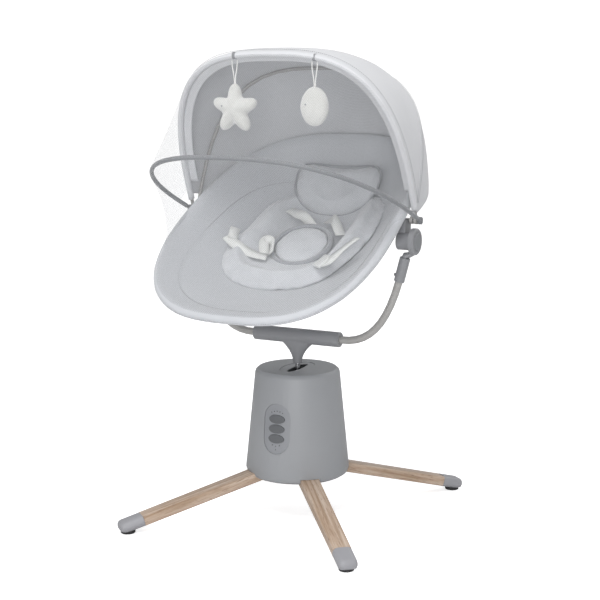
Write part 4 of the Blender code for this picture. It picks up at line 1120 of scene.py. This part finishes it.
def drop_outline(angle):
    """A lemon: an oval that runs to a blunt point at its top and bottom."""
    return 0.0280 + 0.0082 * abs(math.sin(angle)) ** 3


drop = round_cushion("drop_cushion", drop_outline, 0.0150, PLUSH, Matrix.Translation(DROP_CENTRE) @ upright)
puff(drop, 0.0030, 0.003, pressure=5.0)
smoothed(drop)
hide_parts("drop_toy")
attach(drop, "drop")


def toy_cord(name, centre, top, bottom, body):
    """A doubled cord: its two strands are spread over the hoop and meet in a V above the toy."""
    for tag, side in (("a", -1), ("b", 1)):
        points = [Vector((centre.x + side * 0.0056, centre.y, top)),
                  Vector((centre.x + side * 0.0050, centre.y - 0.0006, top - 0.012)),
                  Vector((centre.x + side * 0.0026, centre.y - 0.0004, top * 0.4 + bottom * 0.6)),
                  Vector((centre.x + side * 0.0012, centre.y, bottom + 0.004)),
                  Vector((centre.x + side * 0.0012, centre.y, bottom - 0.006))]
        path = curve_through(points, 24)
        made = tube_mesh(f"{name}_{tag}", path, ring_section(0.0012, sides=8), CORD, (0, 1, 0))
        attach(made, body)


toy_cord("star_cord", STAR_CENTRE, star_high.z, STAR_CENTRE.z + STAR_TIP, "star")
toy_cord("drop_cord", DROP_CENTRE, drop_high.z, DROP_CENTRE.z + 0.0370, "drop")

# %% [markdown]
# Each toy has one embroidered eye: a knot of grey thread on its front.


# %% Eyes
def knot(name, place, radius, body):
    shape = bmesh.new()
    bmesh.ops.create_uvsphere(shape, u_segments=14, v_segments=8, radius=radius)
    bmesh.ops.scale(shape, verts=shape.verts, vec=(1.0, 0.45, 1.0))
    bmesh.ops.translate(shape, verts=shape.verts, vec=place)
    made = finish_mesh(name, shape, THREAD)
    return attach(made, body)


def front_of(piece, x, z):
    """The piece's front surface at this place, seen from the child's side."""
    near = [v.co.y for v in piece.data.vertices if math.dist((v.co.x, v.co.z), (x, z)) < 0.004]
    return Vector((x, min(near), z))


knot("star_eye", front_of(star, STAR_CENTRE.x - 0.020, STAR_CENTRE.z + 0.006), 0.0017, "star")
knot("drop_eye", front_of(drop, DROP_CENTRE.x - 0.012, DROP_CENTRE.z + 0.004), 0.0017, "drop")
print("toys hung")

# %% [markdown]
# ## Stitching
# Every seam is sewn, about one stitch in 4 mm. A Geometry Nodes tree does the sewing: it turns a line into a
# curve, spaces points along it, puts a short thread on each point, turned along the line, and joins them.


# %% Stitches
def stitch_tree(material):
    tree = bpy.data.node_groups.new("sewn_line", "GeometryNodeTree")
    tree.interface.new_socket("Line", in_out="INPUT", socket_type="NodeSocketGeometry")
    pitch = tree.interface.new_socket("Pitch", in_out="INPUT", socket_type="NodeSocketFloat")
    length = tree.interface.new_socket("Stitch length", in_out="INPUT", socket_type="NodeSocketFloat")
    tree.interface.new_socket("Stitches", in_out="OUTPUT", socket_type="NodeSocketGeometry")
    given = tree.nodes.new("NodeGroupInput")
    curve = add(tree, "GeometryNodeMeshToCurve", links={0: given.outputs[0]})
    spaced = add(tree, "GeometryNodeResampleCurve", links={"Curve": curve, "Length": given.outputs[1]},
                 mode="LENGTH")
    points = tree.nodes.new("GeometryNodeCurveToPoints")
    points.mode = "EVALUATED"
    tree.links.new(spaced, points.inputs[0])
    thread = tree.nodes.new("GeometryNodeMeshCylinder")
    thread.inputs["Vertices"].default_value = 6
    thread.inputs["Radius"].default_value = 0.00045
    tree.links.new(given.outputs[2], thread.inputs["Depth"])
    placed = add(tree, "GeometryNodeInstanceOnPoints",
                 links={"Points": points.outputs["Points"], "Instance": thread.outputs["Mesh"],
                        "Rotation": points.outputs["Rotation"]})
    real = add(tree, "GeometryNodeRealizeInstances", links={0: placed})
    done = add(tree, "GeometryNodeSetMaterial", links={0: real})
    done.node.inputs["Material"].default_value = material
    end = tree.nodes.new("NodeGroupOutput")
    tree.links.new(done, end.inputs[0])
    return tree, pitch.identifier, length.identifier


SEWING, PITCH, STITCH = stitch_tree(THREAD)


def sew(name, path, body, closed=False):
    shape = bmesh.new()
    verts = [shape.verts.new(p) for p in path]
    for a, b in zip(verts, verts[1:]):
        shape.edges.new((a, b))
    if closed:
        shape.edges.new((verts[-1], verts[0]))
    mesh = bpy.data.meshes.new(name)
    shape.to_mesh(mesh)
    shape.free()
    made = link(bpy.data.objects.new(name, mesh))
    modifier = made.modifiers.new("sewing", "NODES")
    modifier.node_group = SEWING
    modifier[PITCH] = 0.0040
    modifier[STITCH] = 0.0026
    settle(made)
    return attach(made, body)


def cover_ring(share, lift):
    """A line round the seat at this share of the way out to the rim."""
    path = []
    for k in range(260):
        x, u = rim_place(2 * math.pi * k / 260, -0.006)
        path.append(on_sling(share * x, RIM_LENGTH / 2 + share * (u - RIM_LENGTH / 2), COVER_HALF + lift))
    return path


sew("border_stitches", cover_ring(BORDER_SHARE + 0.022, 0.0012), "seat", closed=True)
front_line = [hoop_point(grown(FRONT_HOOP, -0.0190), t) + hoop_normal * 0.0102
              for t in even_turns(FRONT_HOOP, 0.062, 200)]
sew("canopy_band_stitches", front_line, "canopy_front")
top_line = [hoop_point(grown(FRONT_HOOP, CLOTH_OUT + 0.0012), t) + hoop_normal * 0.0080
            for t in even_turns(FRONT_HOOP, 0.040, 200)]
sew("canopy_edge_stitches", top_line, "canopy_front")
for tag, side in (("front", -1), ("back", 1)):
    line = [p + Vector((0, side * 0.0035, 0)) + n * 0.0008 for p, n in zip(tape_path, tape_up)]
    sew(f"tape_stitches_{tag}", line, "canopy_mid")
print("seams sewn")
